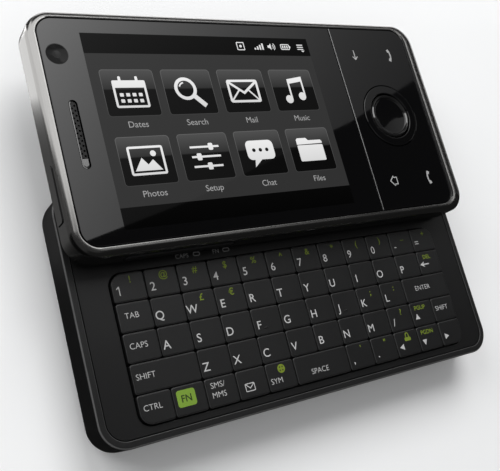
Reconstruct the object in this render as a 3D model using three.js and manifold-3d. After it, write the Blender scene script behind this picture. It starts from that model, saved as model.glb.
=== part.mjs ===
// Side-sliding phone with a five-row keyboard, shown open. Millimetres, +Z towards the screen.
// X runs along the body, Y is the way the display half slides, and the origin is the middle of
// the flat back.
import * as THREE from "three";
import { mergeVertices } from "three/addons/utils/BufferGeometryUtils.js";
import Module from "manifold-3d";

const wasm = await Module();
wasm.setup();

// Whole phone
const bodyLength = 102;
const bodyWidth = 51;
const planCornerRadius = 5.5;
const baseHeight = 10.5;
const halfGap = 1.3;
const displayHalfHeight = 6.3;

// Clearances
const seatGap = 0.3; // between a piece and what it is glued, screwed or clipped to
const seamGap = 0.15; // cosmetic seam between two flush pieces
const runGap = 0.3; // between a sliding or rocking piece and its guide
const pressGap = 0.05; // left under a key at the end of its travel
const cutOverrun = 1; // how far a cutting solid runs past the face that it cuts

// Base housing
const baseEdgeRadius = 3.8;
const baseWall = 1.5;
const baseRimRound = 0.5;
const baseFloorThickness = 1;
const baseLedgeWidth = 1.2;
const baseLedgeThickness = 0.8;
const bossRadius = 1.8;
const bossInset = 5.5;
const speakerHoleRadius = 0.6;
const speakerHoleCount = 5;

// Battery cover and battery
const cameraEndLength = 22;
const coverEndMargin = 5;
const coverSideMargin = 4.5;
const coverThickness = 0.9;
const coverCornerRadius = 4;
const coverLipWidth = 2.6;
const bayEndLength = 10;
const bayCornerRadius = 1;

// Keyboard plate, mat and main board
const bezelThickness = 0.95;
const bezelSink = 0.15;
const keyMatThickness = 0.5;
const boardThickness = 0.8;
const boardCornerRadius = 2;

// Keys
const keyColumns = 12;
const keyRowCount = 5;
const keySideMargin = 8.1;
const keyFrontMargin = 3.23;
const keyBackMargin = 18.33;
const keyFieldRadius = 2.6;
const keyTravel = 0.3;
const keyCarrierThickness = 0.3;
const keyCarrierInset = 0.5;
const keyProud = 0.65; // key top above the rim of the base
const keyGap = 0.36;
const keyCornerRadius = 0.45;
const keyTopBevel = 0.25;

// Pieces under the main board
const simHolderLength = 17;
const simHolderWidth = 15;
const simHolderThickness = 0.9;
const rearCameraSize = 8.5;
const rearLensRadius = 2.6;
const rearWindowSize = 12;
const rearWindowRadius = 3;
const rearWindowThickness = 0.9;
const flashRadius = 1.6;
const speakerLength = 9;
const speakerWidth = 8.5;
const speakerHeadroom = 1.05; // free space over the loudspeaker
const motorLength = 8;
const usbWidth = 7.7;
const usbDepth = 6.2;
const usbHeight = 3;
const usbShell = 0.35;
const usbTongueThickness = 0.7;

// Stylus and the tube that holds it
const siloWall = 0.45;
const siloEndInset = 9;
const siloPlug = 1.5;
const stylusTipLength = 6;
const stylusTipRadius = 0.5;
const stylusCapLength = 4;
const stylusCapNeck = 0.3;

// Slide runners
const runnerLength = 10.6;
const runnerInset = 4.6;
const runnerNeckWidth = 1.6;
const runnerHeadWidth = 3.4;
const runnerHeadThickness = 0.7;
const runnerFootThickness = 0.9;

// Display half
const frameWall = 1.4;
const frameFootBevel = 0.35;
const frameTopRound = 1.6;
const frameRimInset = 1.5;
const frameEndRimInset = 3.87;
const frameRimLand = 0.3;
const frameLedgeWidth = 1.6;
const frameLedgeThickness = 0.8;
const backPlateThickness = 0.8;
const slotEndWall = 0.9;
const displayBoardThickness = 0.7;
const displayBoardEndGap = 0.6;
const windowThickness = 1.4;

// Screen end
const lcdEndInset = 8.2;
const lcdCornerRadius = 0.8;
const earpieceInset = 6;
const earpieceLength = 14.25;
const earpieceWidth = 1.8;
const earpieceSink = 0.3;
const earpieceGrilleThickness = 0.7;
const earpieceCentreY = -1.2;
const earpieceHoleRadius = 0.26;
const earpieceHoleCount = 14;
const speakerUnitWidth = 3.8;
const speakerUnitThickness = 2.2;
const frontCameraSize = 3.8;
const frontCameraLensRadius = 1.5;
const frontCameraFromBack = 9.8;
const frontCameraThickness = 1.9;

// Navigation end
const navEndLength = 27.7;
const navSeam = 0.3;
const navCentreShare = 0.4845;
const ringRadius = 8;
const ringProud = 0.1;
const enterRadius = 5.6;
const enterProud = 0.25;
const enterRimWidth = 0.8;
const enterDish = 0.5;
const enterGap = 0.275; // between the enter button and the ring that rocks round it
const gimbalWall = 1.4;
const gimbalThickness = 0.5;
const domeSheetThickness = 1.1;
const navTravel = 0.35;

// Side keys
const powerLength = 11.2;
const powerFromFront = 8;
const powerFoot = 0.9;
const powerHead = 0.6;
const powerProud = 0.2;
const powerFlange = 0.4;
const powerFlangeReach = 0.8;
const rockerLength = 24;
const rockerFromEnd = 11;
const rockerProud = 0.25;
const rockerFlangeReach = 0.9;

// Facets
const bodyCornerSteps = 6;
const edgeSteps = 4;
const smallCornerSteps = 2;
const roundSides = 24;
const smallRoundSides = 10;

// Plan rectangles: the base's own plan, and the display half's about its own centre
const plan = {
  x0: -bodyLength / 2,
  x1: bodyLength / 2,
  y0: -bodyWidth / 2,
  y1: bodyWidth / 2,
};

// Heights in the base, worked out downwards from its rim
const bezelTop = baseHeight - bezelSink;
const bezelBottom = bezelTop - bezelThickness;
const baseLedgeTop = bezelBottom - seatGap;
const baseLedgeBottom = baseLedgeTop - baseLedgeThickness;
const keyCarrierTop = bezelBottom - seatGap;
const keyBottom = keyCarrierTop - keyCarrierThickness;
const keyTop = baseHeight + keyProud;
const keyMatTop = keyBottom - keyTravel - pressGap;
const boardTop = keyMatTop - keyMatThickness - seatGap;
const boardBottom = boardTop - boardThickness;
const underBoard = boardBottom - seatGap;
const batteryTop = underBoard - simHolderThickness - seatGap;
const batteryBottom = coverThickness + seatGap;
const floorTop = batteryBottom + baseFloorThickness;

// Heights in the display half, worked out upwards from its foot and downwards from its face
const displayBottom = baseHeight + halfGap;
const displayTop = displayBottom + displayHalfHeight;
const backPlateTop = displayBottom + backPlateThickness;
const runnerHeadBottom = backPlateTop + seatGap;
const runnerHeadTop = runnerHeadBottom + runnerHeadThickness;
const displayBoardTop = backPlateTop + seatGap + displayBoardThickness;
const lcdBottom = Math.max(displayBoardTop, runnerHeadTop) + seatGap;
const windowBottom = displayTop - windowThickness;
const frameLedgeTop = windowBottom - seatGap;
const frameLedgeBottom = frameLedgeTop - frameLedgeThickness;
const domeSheetTop = lcdBottom + domeSheetThickness;
const gimbalBottom = domeSheetTop + navTravel;
const ringBottom = gimbalBottom + gimbalThickness + runGap;

// Plan rectangles inside the base
const coverPlan = {
  x0: plan.x0 + cameraEndLength,
  x1: plan.x1 - coverEndMargin,
  y0: plan.y0 + coverSideMargin,
  y1: plan.y1 - coverSideMargin,
};
const siloRadius = (baseLedgeBottom - floorTop) / 2 - seatGap;
const siloBore = siloRadius - siloWall;
const stylusRadius = siloBore - runGap;
const siloY = plan.y1 - baseWall - seatGap - siloRadius;
const siloZ = (baseLedgeBottom + floorTop) / 2;
const bayPlan = {
  x0: coverPlan.x0 + coverLipWidth,
  x1: coverPlan.x1 - bayEndLength,
  y0: coverPlan.y0 + coverLipWidth / 2,
  y1: siloY - siloRadius - seatGap,
};
const boardPlan = { ...inset(plan, baseWall + bossRadius / 2), y1: bayPlan.y1 };
const keyField = {
  x0: plan.x0 + keySideMargin,
  x1: plan.x1 - keySideMargin,
  y0: plan.y0 + keyFrontMargin,
  y1: plan.y1 - keyBackMargin,
};
const keyPitchX = (keyField.x1 - keyField.x0) / keyColumns;
const keyPitchY = (keyField.y1 - keyField.y0) / keyRowCount;

// Slide: the slots of the back plate set how far the display half travels
const backPlatePlan = inset(plan, frameWall + seatGap);
const slotY0 = backPlatePlan.y0 + slotEndWall;
const slotY1 = backPlatePlan.y1 - slotEndWall;
const slideTravel = slotY1 - slotY0 - runnerLength - 2 * runGap;
const runnerY1 = slotY1 - runGap;
const runnerY0 = runnerY1 - runnerLength;

// Plan rectangles of the display half's face
const rimPlan = { ...inset(plan, frameRimInset), x1: plan.x1 - frameEndRimInset };
const facePlan = inset(rimPlan, frameRimLand);
const ledgePlan = inset(facePlan, frameLedgeWidth);
const seamX = plan.x1 - navEndLength;
const navX = THREE.MathUtils.lerp(seamX, facePlan.x1, navCentreShare);
const earpieceX = plan.x0 + earpieceInset;

// Key groups by row, back row first: node name, then each cap's width as a share of the pitch
const keyRowShares = [
  [
    ["keys_1_to_6", [1, 1, 1, 1, 1, 1]],
    ["keys_7_to_equals", [1, 1, 1, 1, 1, 1]],
  ],
  [
    ["key_tab", [1]],
    ["keys_q_to_t", [1, 1, 1, 1, 1]],
    ["keys_y_to_p", [1, 1, 1, 1, 1]],
    ["key_backspace", [1]],
  ],
  [
    ["key_caps", [1]],
    ["keys_a_to_g", [1, 1, 1, 1, 1]],
    ["keys_h_to_l", [1, 1, 1, 1]],
    ["key_enter", [2]],
  ],
  [
    ["key_shift_left", [2]],
    ["keys_z_to_b", [1, 1, 1, 1, 1]],
    ["keys_n_to_slash", [1, 1, 1]],
    ["key_up", [1]],
    ["key_shift_right", [1]],
  ],
  [
    ["key_ctrl", [1]],
    ["key_fn", [1]],
    ["key_message", [1]],
    ["key_mail", [1]],
    ["key_symbol", [1]],
    ["key_space", [2]],
    ["keys_comma_and_stop", [1, 1]],
    ["key_left", [1]],
    ["key_down", [1]],
    ["key_right", [1]],
  ],
];

// Finishes: colour, roughness, metalness
const finishes = {
  softBlack: [0x1c1d1e, 0.6, 0],
  deckBlack: [0x232425, 0.45, 0],
  keyBlack: [0x202224, 0.5, 0],
  silver: [0x9a9a98, 0.3, 0.9],
  glossBlack: [0x0c0c0d, 0.08, 0],
  darkMetal: [0x3a3a3c, 0.35, 0.8],
  steel: [0x8d9093, 0.35, 1],
  circuit: [0x12402a, 0.55, 0],
  rubber: [0x2b2d2f, 0.8, 0],
  label: [0x3d4043, 0.6, 0],
  smoked: [0x101214, 0.1, 0],
  clear: [0xe8e6dc, 0.15, 0],
};

function inset(box, amount) {
  return {
    x0: box.x0 + amount,
    x1: box.x1 - amount,
    y0: box.y0 + amount,
    y1: box.y1 - amount,
  };
}

function around(x, y, length, width) {
  return { x0: x - length / 2, x1: x + length / 2, y0: y - width / 2, y1: y + width / 2 };
}

function toSolid(geometry) {
  const bare = geometry.clone();
  bare.deleteAttribute("normal");
  bare.deleteAttribute("uv");
  const merged = mergeVertices(bare);
  return new wasm.Manifold(
    new wasm.Mesh({
      numProp: 3,
      vertProperties: merged.attributes.position.array,
      triVerts: new Uint32Array(merged.index.array),
    }),
  );
}

function toGeometry(solid) {
  const mesh = solid.getMesh();
  const geometry = new THREE.BufferGeometry();
  geometry.setAttribute("position", new THREE.BufferAttribute(mesh.vertProperties, mesh.numProp));
  geometry.setIndex(new THREE.BufferAttribute(mesh.triVerts, 1));
  geometry.computeVertexNormals();
  return geometry;
}

function join(first, ...others) {
  return others.reduce((whole, other) => whole.add(other), first);
}

function cut(first, ...others) {
  return others.reduce((rest, other) => rest.subtract(other), first);
}

function piece(name, solid, finish) {
  const [color, roughness, metalness] = finish;
  const material = new THREE.MeshStandardMaterial({ color, roughness, metalness });
  const mesh = new THREE.Mesh(toGeometry(solid), material);
  mesh.name = name;
  return mesh;
}

// One level of a loft: the points of a rounded rectangle at its height
function levelPoints({ box, radius, z }, steps) {
  const r = Math.min(radius, (box.x1 - box.x0) / 2, (box.y1 - box.y0) / 2);
  const corners = [
    [box.x1 - r, box.y1 - r],
    [box.x0 + r, box.y1 - r],
    [box.x0 + r, box.y0 + r],
    [box.x1 - r, box.y0 + r],
  ];
  const points = [];
  corners.forEach(([x, y], corner) => {
    for (let step = 0; step <= steps; step += 1) {
      const angle = ((corner + step / steps) * Math.PI) / 2;
      points.push([x + r * Math.cos(angle), y + r * Math.sin(angle), z]);
    }
  });
  return points;
}

// Closed solid through rounded rectangles, lowest first
function loft(levels, steps) {
  const rings = levels.map((level) => levelPoints(level, steps));
  const count = rings[0].length;
  const index = [];
  for (let level = 0; level + 1 < rings.length; level += 1) {
    for (let i = 0; i < count; i += 1) {
      const a = level * count + i;
      const b = level * count + ((i + 1) % count);
      index.push(a, b, b + count, a, b + count, a + count);
    }
  }
  const last = (rings.length - 1) * count;
  for (let i = 1; i + 1 < count; i += 1) {
    index.push(0, i + 1, i, last, last + i, last + i + 1);
  }
  const geometry = new THREE.BufferGeometry();
  geometry.setAttribute("position", new THREE.Float32BufferAttribute(rings.flat(2), 3));
  geometry.setIndex(index);
  return toSolid(geometry);
}

function plate(box, radius, z0, z1, steps = smallCornerSteps) {
  return loft([{ box, radius, z: z0 }, { box, radius, z: z1 }], steps);
}

function block(box, z0, z1) {
  const geometry = new THREE.BoxGeometry(box.x1 - box.x0, box.y1 - box.y0, z1 - z0);
  geometry.translate((box.x0 + box.x1) / 2, (box.y0 + box.y1) / 2, (z0 + z1) / 2);
  return toSolid(geometry);
}

function disc(x, y, radius, z0, z1, sides = roundSides) {
  const geometry = new THREE.CylinderGeometry(radius, radius, z1 - z0, sides);
  geometry.rotateX(Math.PI / 2);
  geometry.translate(x, y, (z0 + z1) / 2);
  return toSolid(geometry);
}

// Turned solid about a Z axis at x, y: the profile is radius and height pairs
function turned(x, y, profile, sides = roundSides) {
  const points = profile.map(([radius, z]) => new THREE.Vector2(radius, z));
  const geometry = new THREE.LatheGeometry(points, sides);
  geometry.rotateX(Math.PI / 2);
  geometry.translate(x, y, 0);
  return toSolid(geometry);
}

// Turned solid about an X axis at y, z: the profile is radius and X pairs
function turnedAlongX(y, z, profile, sides) {
  const points = profile.map(([radius, x]) => new THREE.Vector2(radius, x));
  const geometry = new THREE.LatheGeometry(points, sides);
  geometry.rotateZ(-Math.PI / 2);
  geometry.translate(0, y, z);
  return toSolid(geometry);
}

// Base housing: rounded lower edges and a narrow rim
function baseEnvelope() {
  const levels = [];
  for (let step = 0; step <= edgeSteps; step += 1) {
    const angle = ((step / edgeSteps) * Math.PI) / 2;
    const back = baseEdgeRadius * (1 - Math.sin(angle));
    const z = baseEdgeRadius * (1 - Math.cos(angle));
    levels.push({ box: inset(plan, back), radius: planCornerRadius - back, z });
  }
  levels.push({ box: plan, radius: planCornerRadius, z: baseHeight - baseRimRound });
  levels.push({
    box: inset(plan, baseRimRound),
    radius: planCornerRadius - baseRimRound,
    z: baseHeight,
  });
  return loft(levels, bodyCornerSteps);
}

function insetPlate(amount, z0, z1) {
  return plate(inset(plan, amount), planCornerRadius - amount, z0, z1, bodyCornerSteps);
}

const rearCameraX = plan.x0 + cameraEndLength / 2;
const rearCameraY = rearWindowSize / 2;
const flashY = -flashRadius - rearWindowRadius;
const speakerY = flashY - flashRadius - seatGap - baseWall - speakerWidth / 2;
const usbX0 = plan.x1 - usbDepth;
const usbPlan = { x0: usbX0, x1: plan.x1 - seatGap, y0: -usbWidth / 2, y1: usbWidth / 2 };
const motorX = bayPlan.x1 + bayEndLength / 2;

function baseHousing() {
  const cavity = insetPlate(baseWall, floorTop, baseLedgeBottom);
  const ledgeHole = insetPlate(
    baseWall + baseLedgeWidth,
    baseLedgeBottom - cutOverrun,
    baseHeight,
  );
  const bezelSeat = insetPlate(baseWall, baseLedgeTop, baseHeight + cutOverrun);
  const coverSeat = plate(
    inset(coverPlan, -seamGap),
    coverCornerRadius + seamGap,
    -cutOverrun,
    batteryBottom,
    bodyCornerSteps,
  );
  const bay = plate(bayPlan, bayCornerRadius, 0, floorTop + cutOverrun);
  const windowSeat = plate(
    inset(rearWindowPlan(), -seamGap),
    rearWindowRadius + seamGap,
    -cutOverrun,
    rearWindowThickness + seatGap,
    bodyCornerSteps,
  );
  const lensHole = disc(rearCameraX, rearCameraY, rearLensRadius + seatGap, 0, floorTop + cutOverrun);
  const flashHole = disc(rearCameraX, flashY, flashRadius + seamGap, -cutOverrun, floorTop + cutOverrun);
  const usbHole = block(
    inset({ ...usbPlan, x1: plan.x1 + cutOverrun }, -seatGap),
    underBoard - usbHeight - seatGap,
    underBoard + seatGap,
  );
  const stylusHole = turnedAlongX(
    siloY,
    siloZ,
    [
      [0, plan.x1 - planCornerRadius],
      [siloBore, plan.x1 - planCornerRadius],
      [siloBore, plan.x1 + cutOverrun],
      [0, plan.x1 + cutOverrun],
    ],
    roundSides,
  );
  const shell = cut(
    baseEnvelope(),
    cavity,
    ledgeHole,
    bezelSeat,
    coverSeat,
    bay,
    windowSeat,
    lensHole,
    flashHole,
    usbHole,
    stylusHole,
    ...speakerHoles(),
  );
  return join(shell, ...boardBosses());
}

function boardBosses() {
  const places = inset(plan, bossInset);
  const backY = bayPlan.y1 - bossRadius - seatGap;
  return [
    [places.x0, places.y0],
    [places.x1, places.y0],
    [places.x0, backY],
    [places.x1, backY],
  ].map(([x, y]) => disc(x, y, bossRadius, floorTop - baseFloorThickness / 2, underBoard, smallRoundSides));
}

function speakerHoles() {
  const pitch = speakerLength / speakerHoleCount;
  const firstX = rearCameraX - (pitch * (speakerHoleCount - 1)) / 2;
  return Array.from({ length: speakerHoleCount }, (_, i) =>
    disc(
      firstX + i * pitch,
      speakerY,
      speakerHoleRadius,
      -cutOverrun,
      floorTop + cutOverrun,
      smallRoundSides,
    ),
  );
}

function batteryCover() {
  return plate(coverPlan, coverCornerRadius, 0, coverThickness, bodyCornerSteps);
}

function battery() {
  return plate(inset(bayPlan, seatGap), bayCornerRadius, batteryBottom, batteryTop);
}

function mainBoard() {
  return plate(boardPlan, boardCornerRadius, boardBottom, boardTop);
}

function simHolder() {
  const x = (bayPlan.x0 + bayPlan.x1) / 2;
  const y = (bayPlan.y0 + bayPlan.y1) / 2;
  const box = around(x, y, simHolderLength, simHolderWidth);
  return plate(box, bayCornerRadius, underBoard - simHolderThickness, underBoard);
}

function rearWindowPlan() {
  return around(rearCameraX, rearCameraY, rearWindowSize, rearWindowSize);
}

function rearCameraWindow() {
  return plate(rearWindowPlan(), rearWindowRadius, 0, rearWindowThickness, bodyCornerSteps);
}

function rearCameraModule() {
  const bodyBottom = floorTop + seatGap;
  const box = around(rearCameraX, rearCameraY, rearCameraSize, rearCameraSize);
  const body = plate(box, bayCornerRadius, bodyBottom, underBoard);
  const barrelBottom = rearWindowThickness + seatGap;
  const barrel = disc(rearCameraX, rearCameraY, rearLensRadius, barrelBottom, underBoard - usbShell);
  return join(body, barrel);
}

function flashLens() {
  return disc(rearCameraX, flashY, flashRadius, 0, floorTop);
}

function loudspeaker() {
  const box = around(rearCameraX, speakerY, speakerLength, speakerWidth);
  const bottom = floorTop + seatGap;
  return plate(box, boardCornerRadius, bottom, underBoard - speakerHeadroom);
}

function vibrationMotor() {
  const bottom = floorTop + seatGap;
  const radius = (underBoard - bottom) / 2;
  const geometry = new THREE.CylinderGeometry(radius, radius, motorLength, roundSides);
  const y = -usbWidth / 2 - seatGap - motorLength;
  geometry.translate(motorX, y, bottom + radius);
  return toSolid(geometry);
}

function usbSocket() {
  const bottom = underBoard - usbHeight;
  const shell = block(usbPlan, bottom, underBoard);
  const mouth = block(
    { ...inset(usbPlan, usbShell), x1: usbPlan.x1 + cutOverrun },
    bottom + usbShell,
    underBoard - usbShell,
  );
  const middle = (bottom + underBoard) / 2;
  const tongue = block(
    { x0: usbPlan.x0, x1: usbPlan.x1 - usbShell, y0: usbPlan.y0 / 2, y1: usbPlan.y1 / 2 },
    middle - usbTongueThickness / 2,
    middle + usbTongueThickness / 2,
  );
  return join(cut(shell, mouth), tongue);
}

function keyMat() {
  const box = {
    ...inset(keyField, -seamGap),
    y0: plan.y0 + baseWall + baseLedgeWidth + seamGap,
  };
  return plate(box, keyFieldRadius, keyMatTop - keyMatThickness, keyMatTop);
}

function runnerX(side) {
  return side * (plan.x1 - runnerInset);
}

function keyboardBezel() {
  const sheet = plate(
    inset(plan, baseWall + seamGap),
    planCornerRadius - baseWall - seamGap,
    bezelBottom,
    bezelTop,
    bodyCornerSteps,
  );
  const keyWindow = plate(
    inset(keyField, -seamGap),
    keyFieldRadius + seamGap,
    bezelBottom - cutOverrun,
    bezelTop + cutOverrun,
    bodyCornerSteps,
  );
  const runnerSlots = [-1, 1].map((side) =>
    block(
      {
        x0: runnerX(side) - runnerNeckWidth / 2 - seamGap,
        x1: runnerX(side) + runnerNeckWidth / 2 + seamGap,
        y0: runnerY0 - seamGap,
        y1: runnerY1 + seamGap,
      },
      bezelBottom - cutOverrun,
      bezelTop + cutOverrun,
    ),
  );
  return cut(sheet, keyWindow, ...runnerSlots);
}

// T-shaped runner that stands through the keyboard plate into a slot of the display half
function slideRunner(side) {
  const y = (runnerY0 + runnerY1) / 2;
  const footTop = bezelBottom - seatGap;
  const wide = around(runnerX(side), y, runnerHeadWidth, runnerLength);
  const narrow = around(runnerX(side), y, runnerNeckWidth, runnerLength);
  const footY1 = plan.y1 - planCornerRadius;
  const foot = block({ ...wide, y1: footY1 }, footTop - runnerFootThickness, footTop);
  const stalk = block({ ...narrow, y1: footY1 }, footTop - runnerFootThickness, runnerHeadBottom);
  const neck = block(narrow, footTop + seamGap, runnerHeadTop);
  const head = block(wide, runnerHeadBottom, runnerHeadTop);
  return join(foot, stalk, neck, head);
}

// Tube that guides the stylus, closed at its inner end
const siloX0 = plan.x0 + siloEndInset;
const siloX1 = plan.x1 - planCornerRadius - seatGap;

function stylusSilo() {
  return turnedAlongX(
    siloY,
    siloZ,
    [
      [0, siloX0],
      [siloRadius, siloX0],
      [siloRadius, siloX1],
      [siloBore, siloX1],
      [siloBore, siloX0 + siloPlug],
      [0, siloX0 + siloPlug],
    ],
    roundSides,
  );
}

function stylus() {
  const tip = siloX0 + siloPlug + seatGap;
  const neck = plan.x1 - stylusCapLength;
  const rod = turnedAlongX(
    siloY,
    siloZ,
    [
      [0, tip],
      [stylusTipRadius, tip],
      [stylusRadius, tip + stylusTipLength],
      [stylusRadius, neck - stylusCapNeck],
      [stylusRadius - stylusCapNeck, neck],
      [stylusRadius, neck + stylusCapNeck],
      [stylusRadius, plan.x1 + cutOverrun],
      [0, plan.x1 + cutOverrun],
    ],
    roundSides,
  );
  return rod.intersect(baseEnvelope());
}

// One group of key caps on a shared carrier, in the group's own place on the grid
function keyGroup(row, firstColumn, widths) {
  const backY = keyField.y1 - row * keyPitchY;
  const caps = [];
  let column = firstColumn;
  for (const width of widths) {
    const box = inset(
      {
        x0: keyField.x0 + column * keyPitchX,
        x1: keyField.x0 + (column + width) * keyPitchX,
        y0: backY - keyPitchY,
        y1: backY,
      },
      keyGap / 2,
    );
    caps.push(
      loft(
        [
          { box, radius: keyCornerRadius, z: keyBottom },
          { box, radius: keyCornerRadius, z: keyTop - keyTopBevel },
          {
            box: inset(box, keyTopBevel),
            radius: keyCornerRadius - keyTopBevel / 2,
            z: keyTop,
          },
        ],
        smallCornerSteps,
      ),
    );
    column += width;
  }
  const field = plate(
    inset(keyField, keyGap / 2),
    keyFieldRadius,
    keyBottom - cutOverrun,
    keyTop + cutOverrun,
    bodyCornerSteps,
  );
  const carrier = block(
    {
      x0: keyField.x0 + firstColumn * keyPitchX + keyCarrierInset,
      x1: keyField.x0 + column * keyPitchX - keyCarrierInset,
      y0: backY - keyPitchY + keyCarrierInset,
      y1: backY - keyCarrierInset,
    },
    keyBottom,
    keyCarrierTop,
  );
  return join(carrier, ...caps).intersect(field);
}

function keyMeshes() {
  return keyRowShares.flatMap((groups, row) => {
    let column = 0;
    return groups.map(([name, widths]) => {
      const mesh = piece(name, keyGroup(row, column, widths), finishes.keyBlack);
      column += widths.reduce((total, width) => total + width, 0);
      return mesh;
    });
  });
}

// Display half, about its own centre

function displayEnvelope() {
  const levels = [
    {
      box: inset(plan, frameFootBevel),
      radius: planCornerRadius - frameFootBevel,
      z: displayBottom,
    },
    { box: plan, radius: planCornerRadius, z: displayBottom + frameFootBevel },
  ];
  for (let step = 0; step <= edgeSteps; step += 1) {
    const angle = ((step / edgeSteps) * Math.PI) / 2;
    const share = 1 - Math.cos(angle);
    const side = frameRimInset * share;
    levels.push({
      box: { ...inset(plan, side), x1: plan.x1 - frameEndRimInset * share },
      radius: planCornerRadius - side,
      z: displayTop - frameTopRound * (1 - Math.sin(angle)),
    });
  }
  return loft(levels, bodyCornerSteps);
}

function facePlate(gap, z0, z1) {
  const radius = planCornerRadius - frameRimInset - frameRimLand - gap;
  return plate(inset(facePlan, gap), radius, z0, z1, bodyCornerSteps);
}

const powerPlan = {
  x0: plan.x0 - powerProud,
  x1: plan.x0 + frameWall + seatGap,
  y0: plan.y0 + powerFromFront,
  y1: plan.y0 + powerFromFront + powerLength,
};
const powerZ0 = displayBottom + powerFoot;
const powerZ1 = displayTop - frameTopRound - powerHead;
const rockerPlan = {
  x0: plan.x0 + rockerFromEnd,
  x1: plan.x0 + rockerFromEnd + rockerLength,
  y0: plan.y0 - rockerProud,
  y1: plan.y0 + frameWall + seatGap,
};
const rockerZ0 = backPlateTop + seatGap;
const rockerZ1 = frameLedgeBottom - seatGap;

function displayFrame() {
  const cavity = insetPlate(frameWall, displayBottom - cutOverrun, frameLedgeBottom);
  const ledgeHole = plate(
    ledgePlan,
    planCornerRadius - frameRimInset - frameRimLand - frameLedgeWidth,
    displayBottom,
    displayTop,
    bodyCornerSteps,
  );
  const faceSeat = facePlate(0, frameLedgeTop, displayTop + cutOverrun);
  const powerHole = block(
    {
      x0: plan.x0 - cutOverrun,
      x1: powerPlan.x1 + powerFlange + navTravel,
      y0: powerPlan.y0 - seamGap,
      y1: powerPlan.y1 + seamGap,
    },
    powerZ0 - seamGap,
    powerZ1 + seamGap,
  );
  const rockerHole = block(
    {
      x0: rockerPlan.x0 - runGap,
      x1: rockerPlan.x1 + runGap,
      y0: plan.y0 - cutOverrun,
      y1: rockerPlan.y1,
    },
    rockerZ0 - seamGap,
    rockerZ1 + seamGap,
  );
  return cut(displayEnvelope(), cavity, ledgeHole, faceSeat, powerHole, rockerHole);
}

function displayWindow() {
  const glass = facePlate(seamGap, windowBottom, displayTop);
  const navSide = block(
    { ...inset(plan, -cutOverrun), x0: seamX - navSeam / 2 },
    windowBottom - cutOverrun,
    displayTop + cutOverrun,
  );
  const earSlot = plate(
    around(earpieceX, earpieceCentreY, earpieceWidth, earpieceLength),
    earpieceWidth / 2,
    windowBottom - cutOverrun,
    displayTop + cutOverrun,
    bodyCornerSteps,
  );
  return cut(glass, navSide, earSlot);
}

function earpieceGrille() {
  const top = displayTop - earpieceSink;
  const bottom = top - earpieceGrilleThickness;
  const box = inset(around(earpieceX, earpieceCentreY, earpieceWidth, earpieceLength), seamGap);
  const strip = plate(box, earpieceWidth / 2 - seamGap, bottom, top, bodyCornerSteps);
  const pitch = (earpieceLength - earpieceWidth) / earpieceHoleCount;
  const firstY = earpieceCentreY - (pitch * (earpieceHoleCount - 1)) / 2;
  const holes = Array.from({ length: earpieceHoleCount }, (_, i) =>
    disc(
      earpieceX,
      firstY + i * pitch,
      earpieceHoleRadius,
      bottom - cutOverrun,
      top + cutOverrun,
      smallRoundSides,
    ),
  );
  return cut(strip, ...holes);
}

const sideUnitX = ledgePlan.x0 + seatGap + speakerUnitWidth / 2;

function earpieceSpeaker() {
  const top = frameLedgeTop;
  const box = around(sideUnitX, earpieceCentreY, speakerUnitWidth, earpieceLength);
  return plate(box, boardCornerRadius / 2, top - speakerUnitThickness, top);
}

function frontCameraModule() {
  const y = plan.y1 - frontCameraFromBack;
  const top = frameLedgeTop;
  const box = around(sideUnitX, y, frontCameraSize, frontCameraSize);
  const body = plate(box, keyCornerRadius, top - frontCameraThickness, top - seamGap);
  const lens = disc(sideUnitX, y, frontCameraLensRadius, top - frontCameraThickness / 2, top);
  return join(body, lens);
}

function lcdModule() {
  const box = {
    x0: plan.x0 + lcdEndInset,
    x1: seamX - frameLedgeWidth,
    y0: ledgePlan.y0 + seatGap,
    y1: ledgePlan.y1 - seatGap,
  };
  return plate(box, lcdCornerRadius, lcdBottom, frameLedgeTop);
}

function displayBoard() {
  const trackX = plan.x1 - runnerInset - runnerHeadWidth / 2 - displayBoardEndGap;
  const box = {
    x0: -trackX,
    x1: trackX,
    y0: rockerPlan.y1 + seatGap + rockerFlangeReach,
    y1: backPlatePlan.y1 - slotEndWall,
  };
  return plate(box, boardCornerRadius, backPlateTop + seatGap, displayBoardTop);
}

function sliderBackPlate() {
  const sheet = plate(
    backPlatePlan,
    planCornerRadius - frameWall - seatGap,
    displayBottom,
    backPlateTop,
    bodyCornerSteps,
  );
  const slots = [-1, 1].map((side) =>
    block(
      {
        x0: runnerX(side) - runnerNeckWidth / 2 - runGap,
        x1: runnerX(side) + runnerNeckWidth / 2 + runGap,
        y0: slotY0,
        y1: slotY1,
      },
      displayBottom - cutOverrun,
      backPlateTop + cutOverrun,
    ),
  );
  return cut(sheet, ...slots);
}

// Navigation panel: the four flush marks at its corners are pressed by rocking it
function navPanel() {
  const panel = facePlate(seamGap, windowBottom, displayTop);
  const screenSide = block(
    { ...inset(plan, -cutOverrun), x1: seamX + navSeam / 2 },
    windowBottom - cutOverrun,
    displayTop + cutOverrun,
  );
  const ringHole = disc(navX, 0, ringRadius + seamGap, windowBottom - cutOverrun, displayTop + cutOverrun);
  return cut(panel, screenSide, ringHole);
}

function navDomeSheet() {
  const box = {
    x0: seamX,
    x1: ledgePlan.x1 - seatGap,
    y0: ledgePlan.y0 + seatGap,
    y1: ledgePlan.y1 - seatGap,
  };
  return plate(box, boardCornerRadius, lcdBottom, domeSheetTop);
}

// Gimbal ring between the dome sheet and the rocking ring
function navGimbal() {
  const outer = ringRadius - seatGap;
  const inner = outer - gimbalWall;
  const top = gimbalBottom + gimbalThickness;
  return turned(navX, 0, [
    [inner, gimbalBottom],
    [outer, gimbalBottom],
    [outer, top],
    [inner, top],
    [inner, gimbalBottom],
  ]);
}

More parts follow.
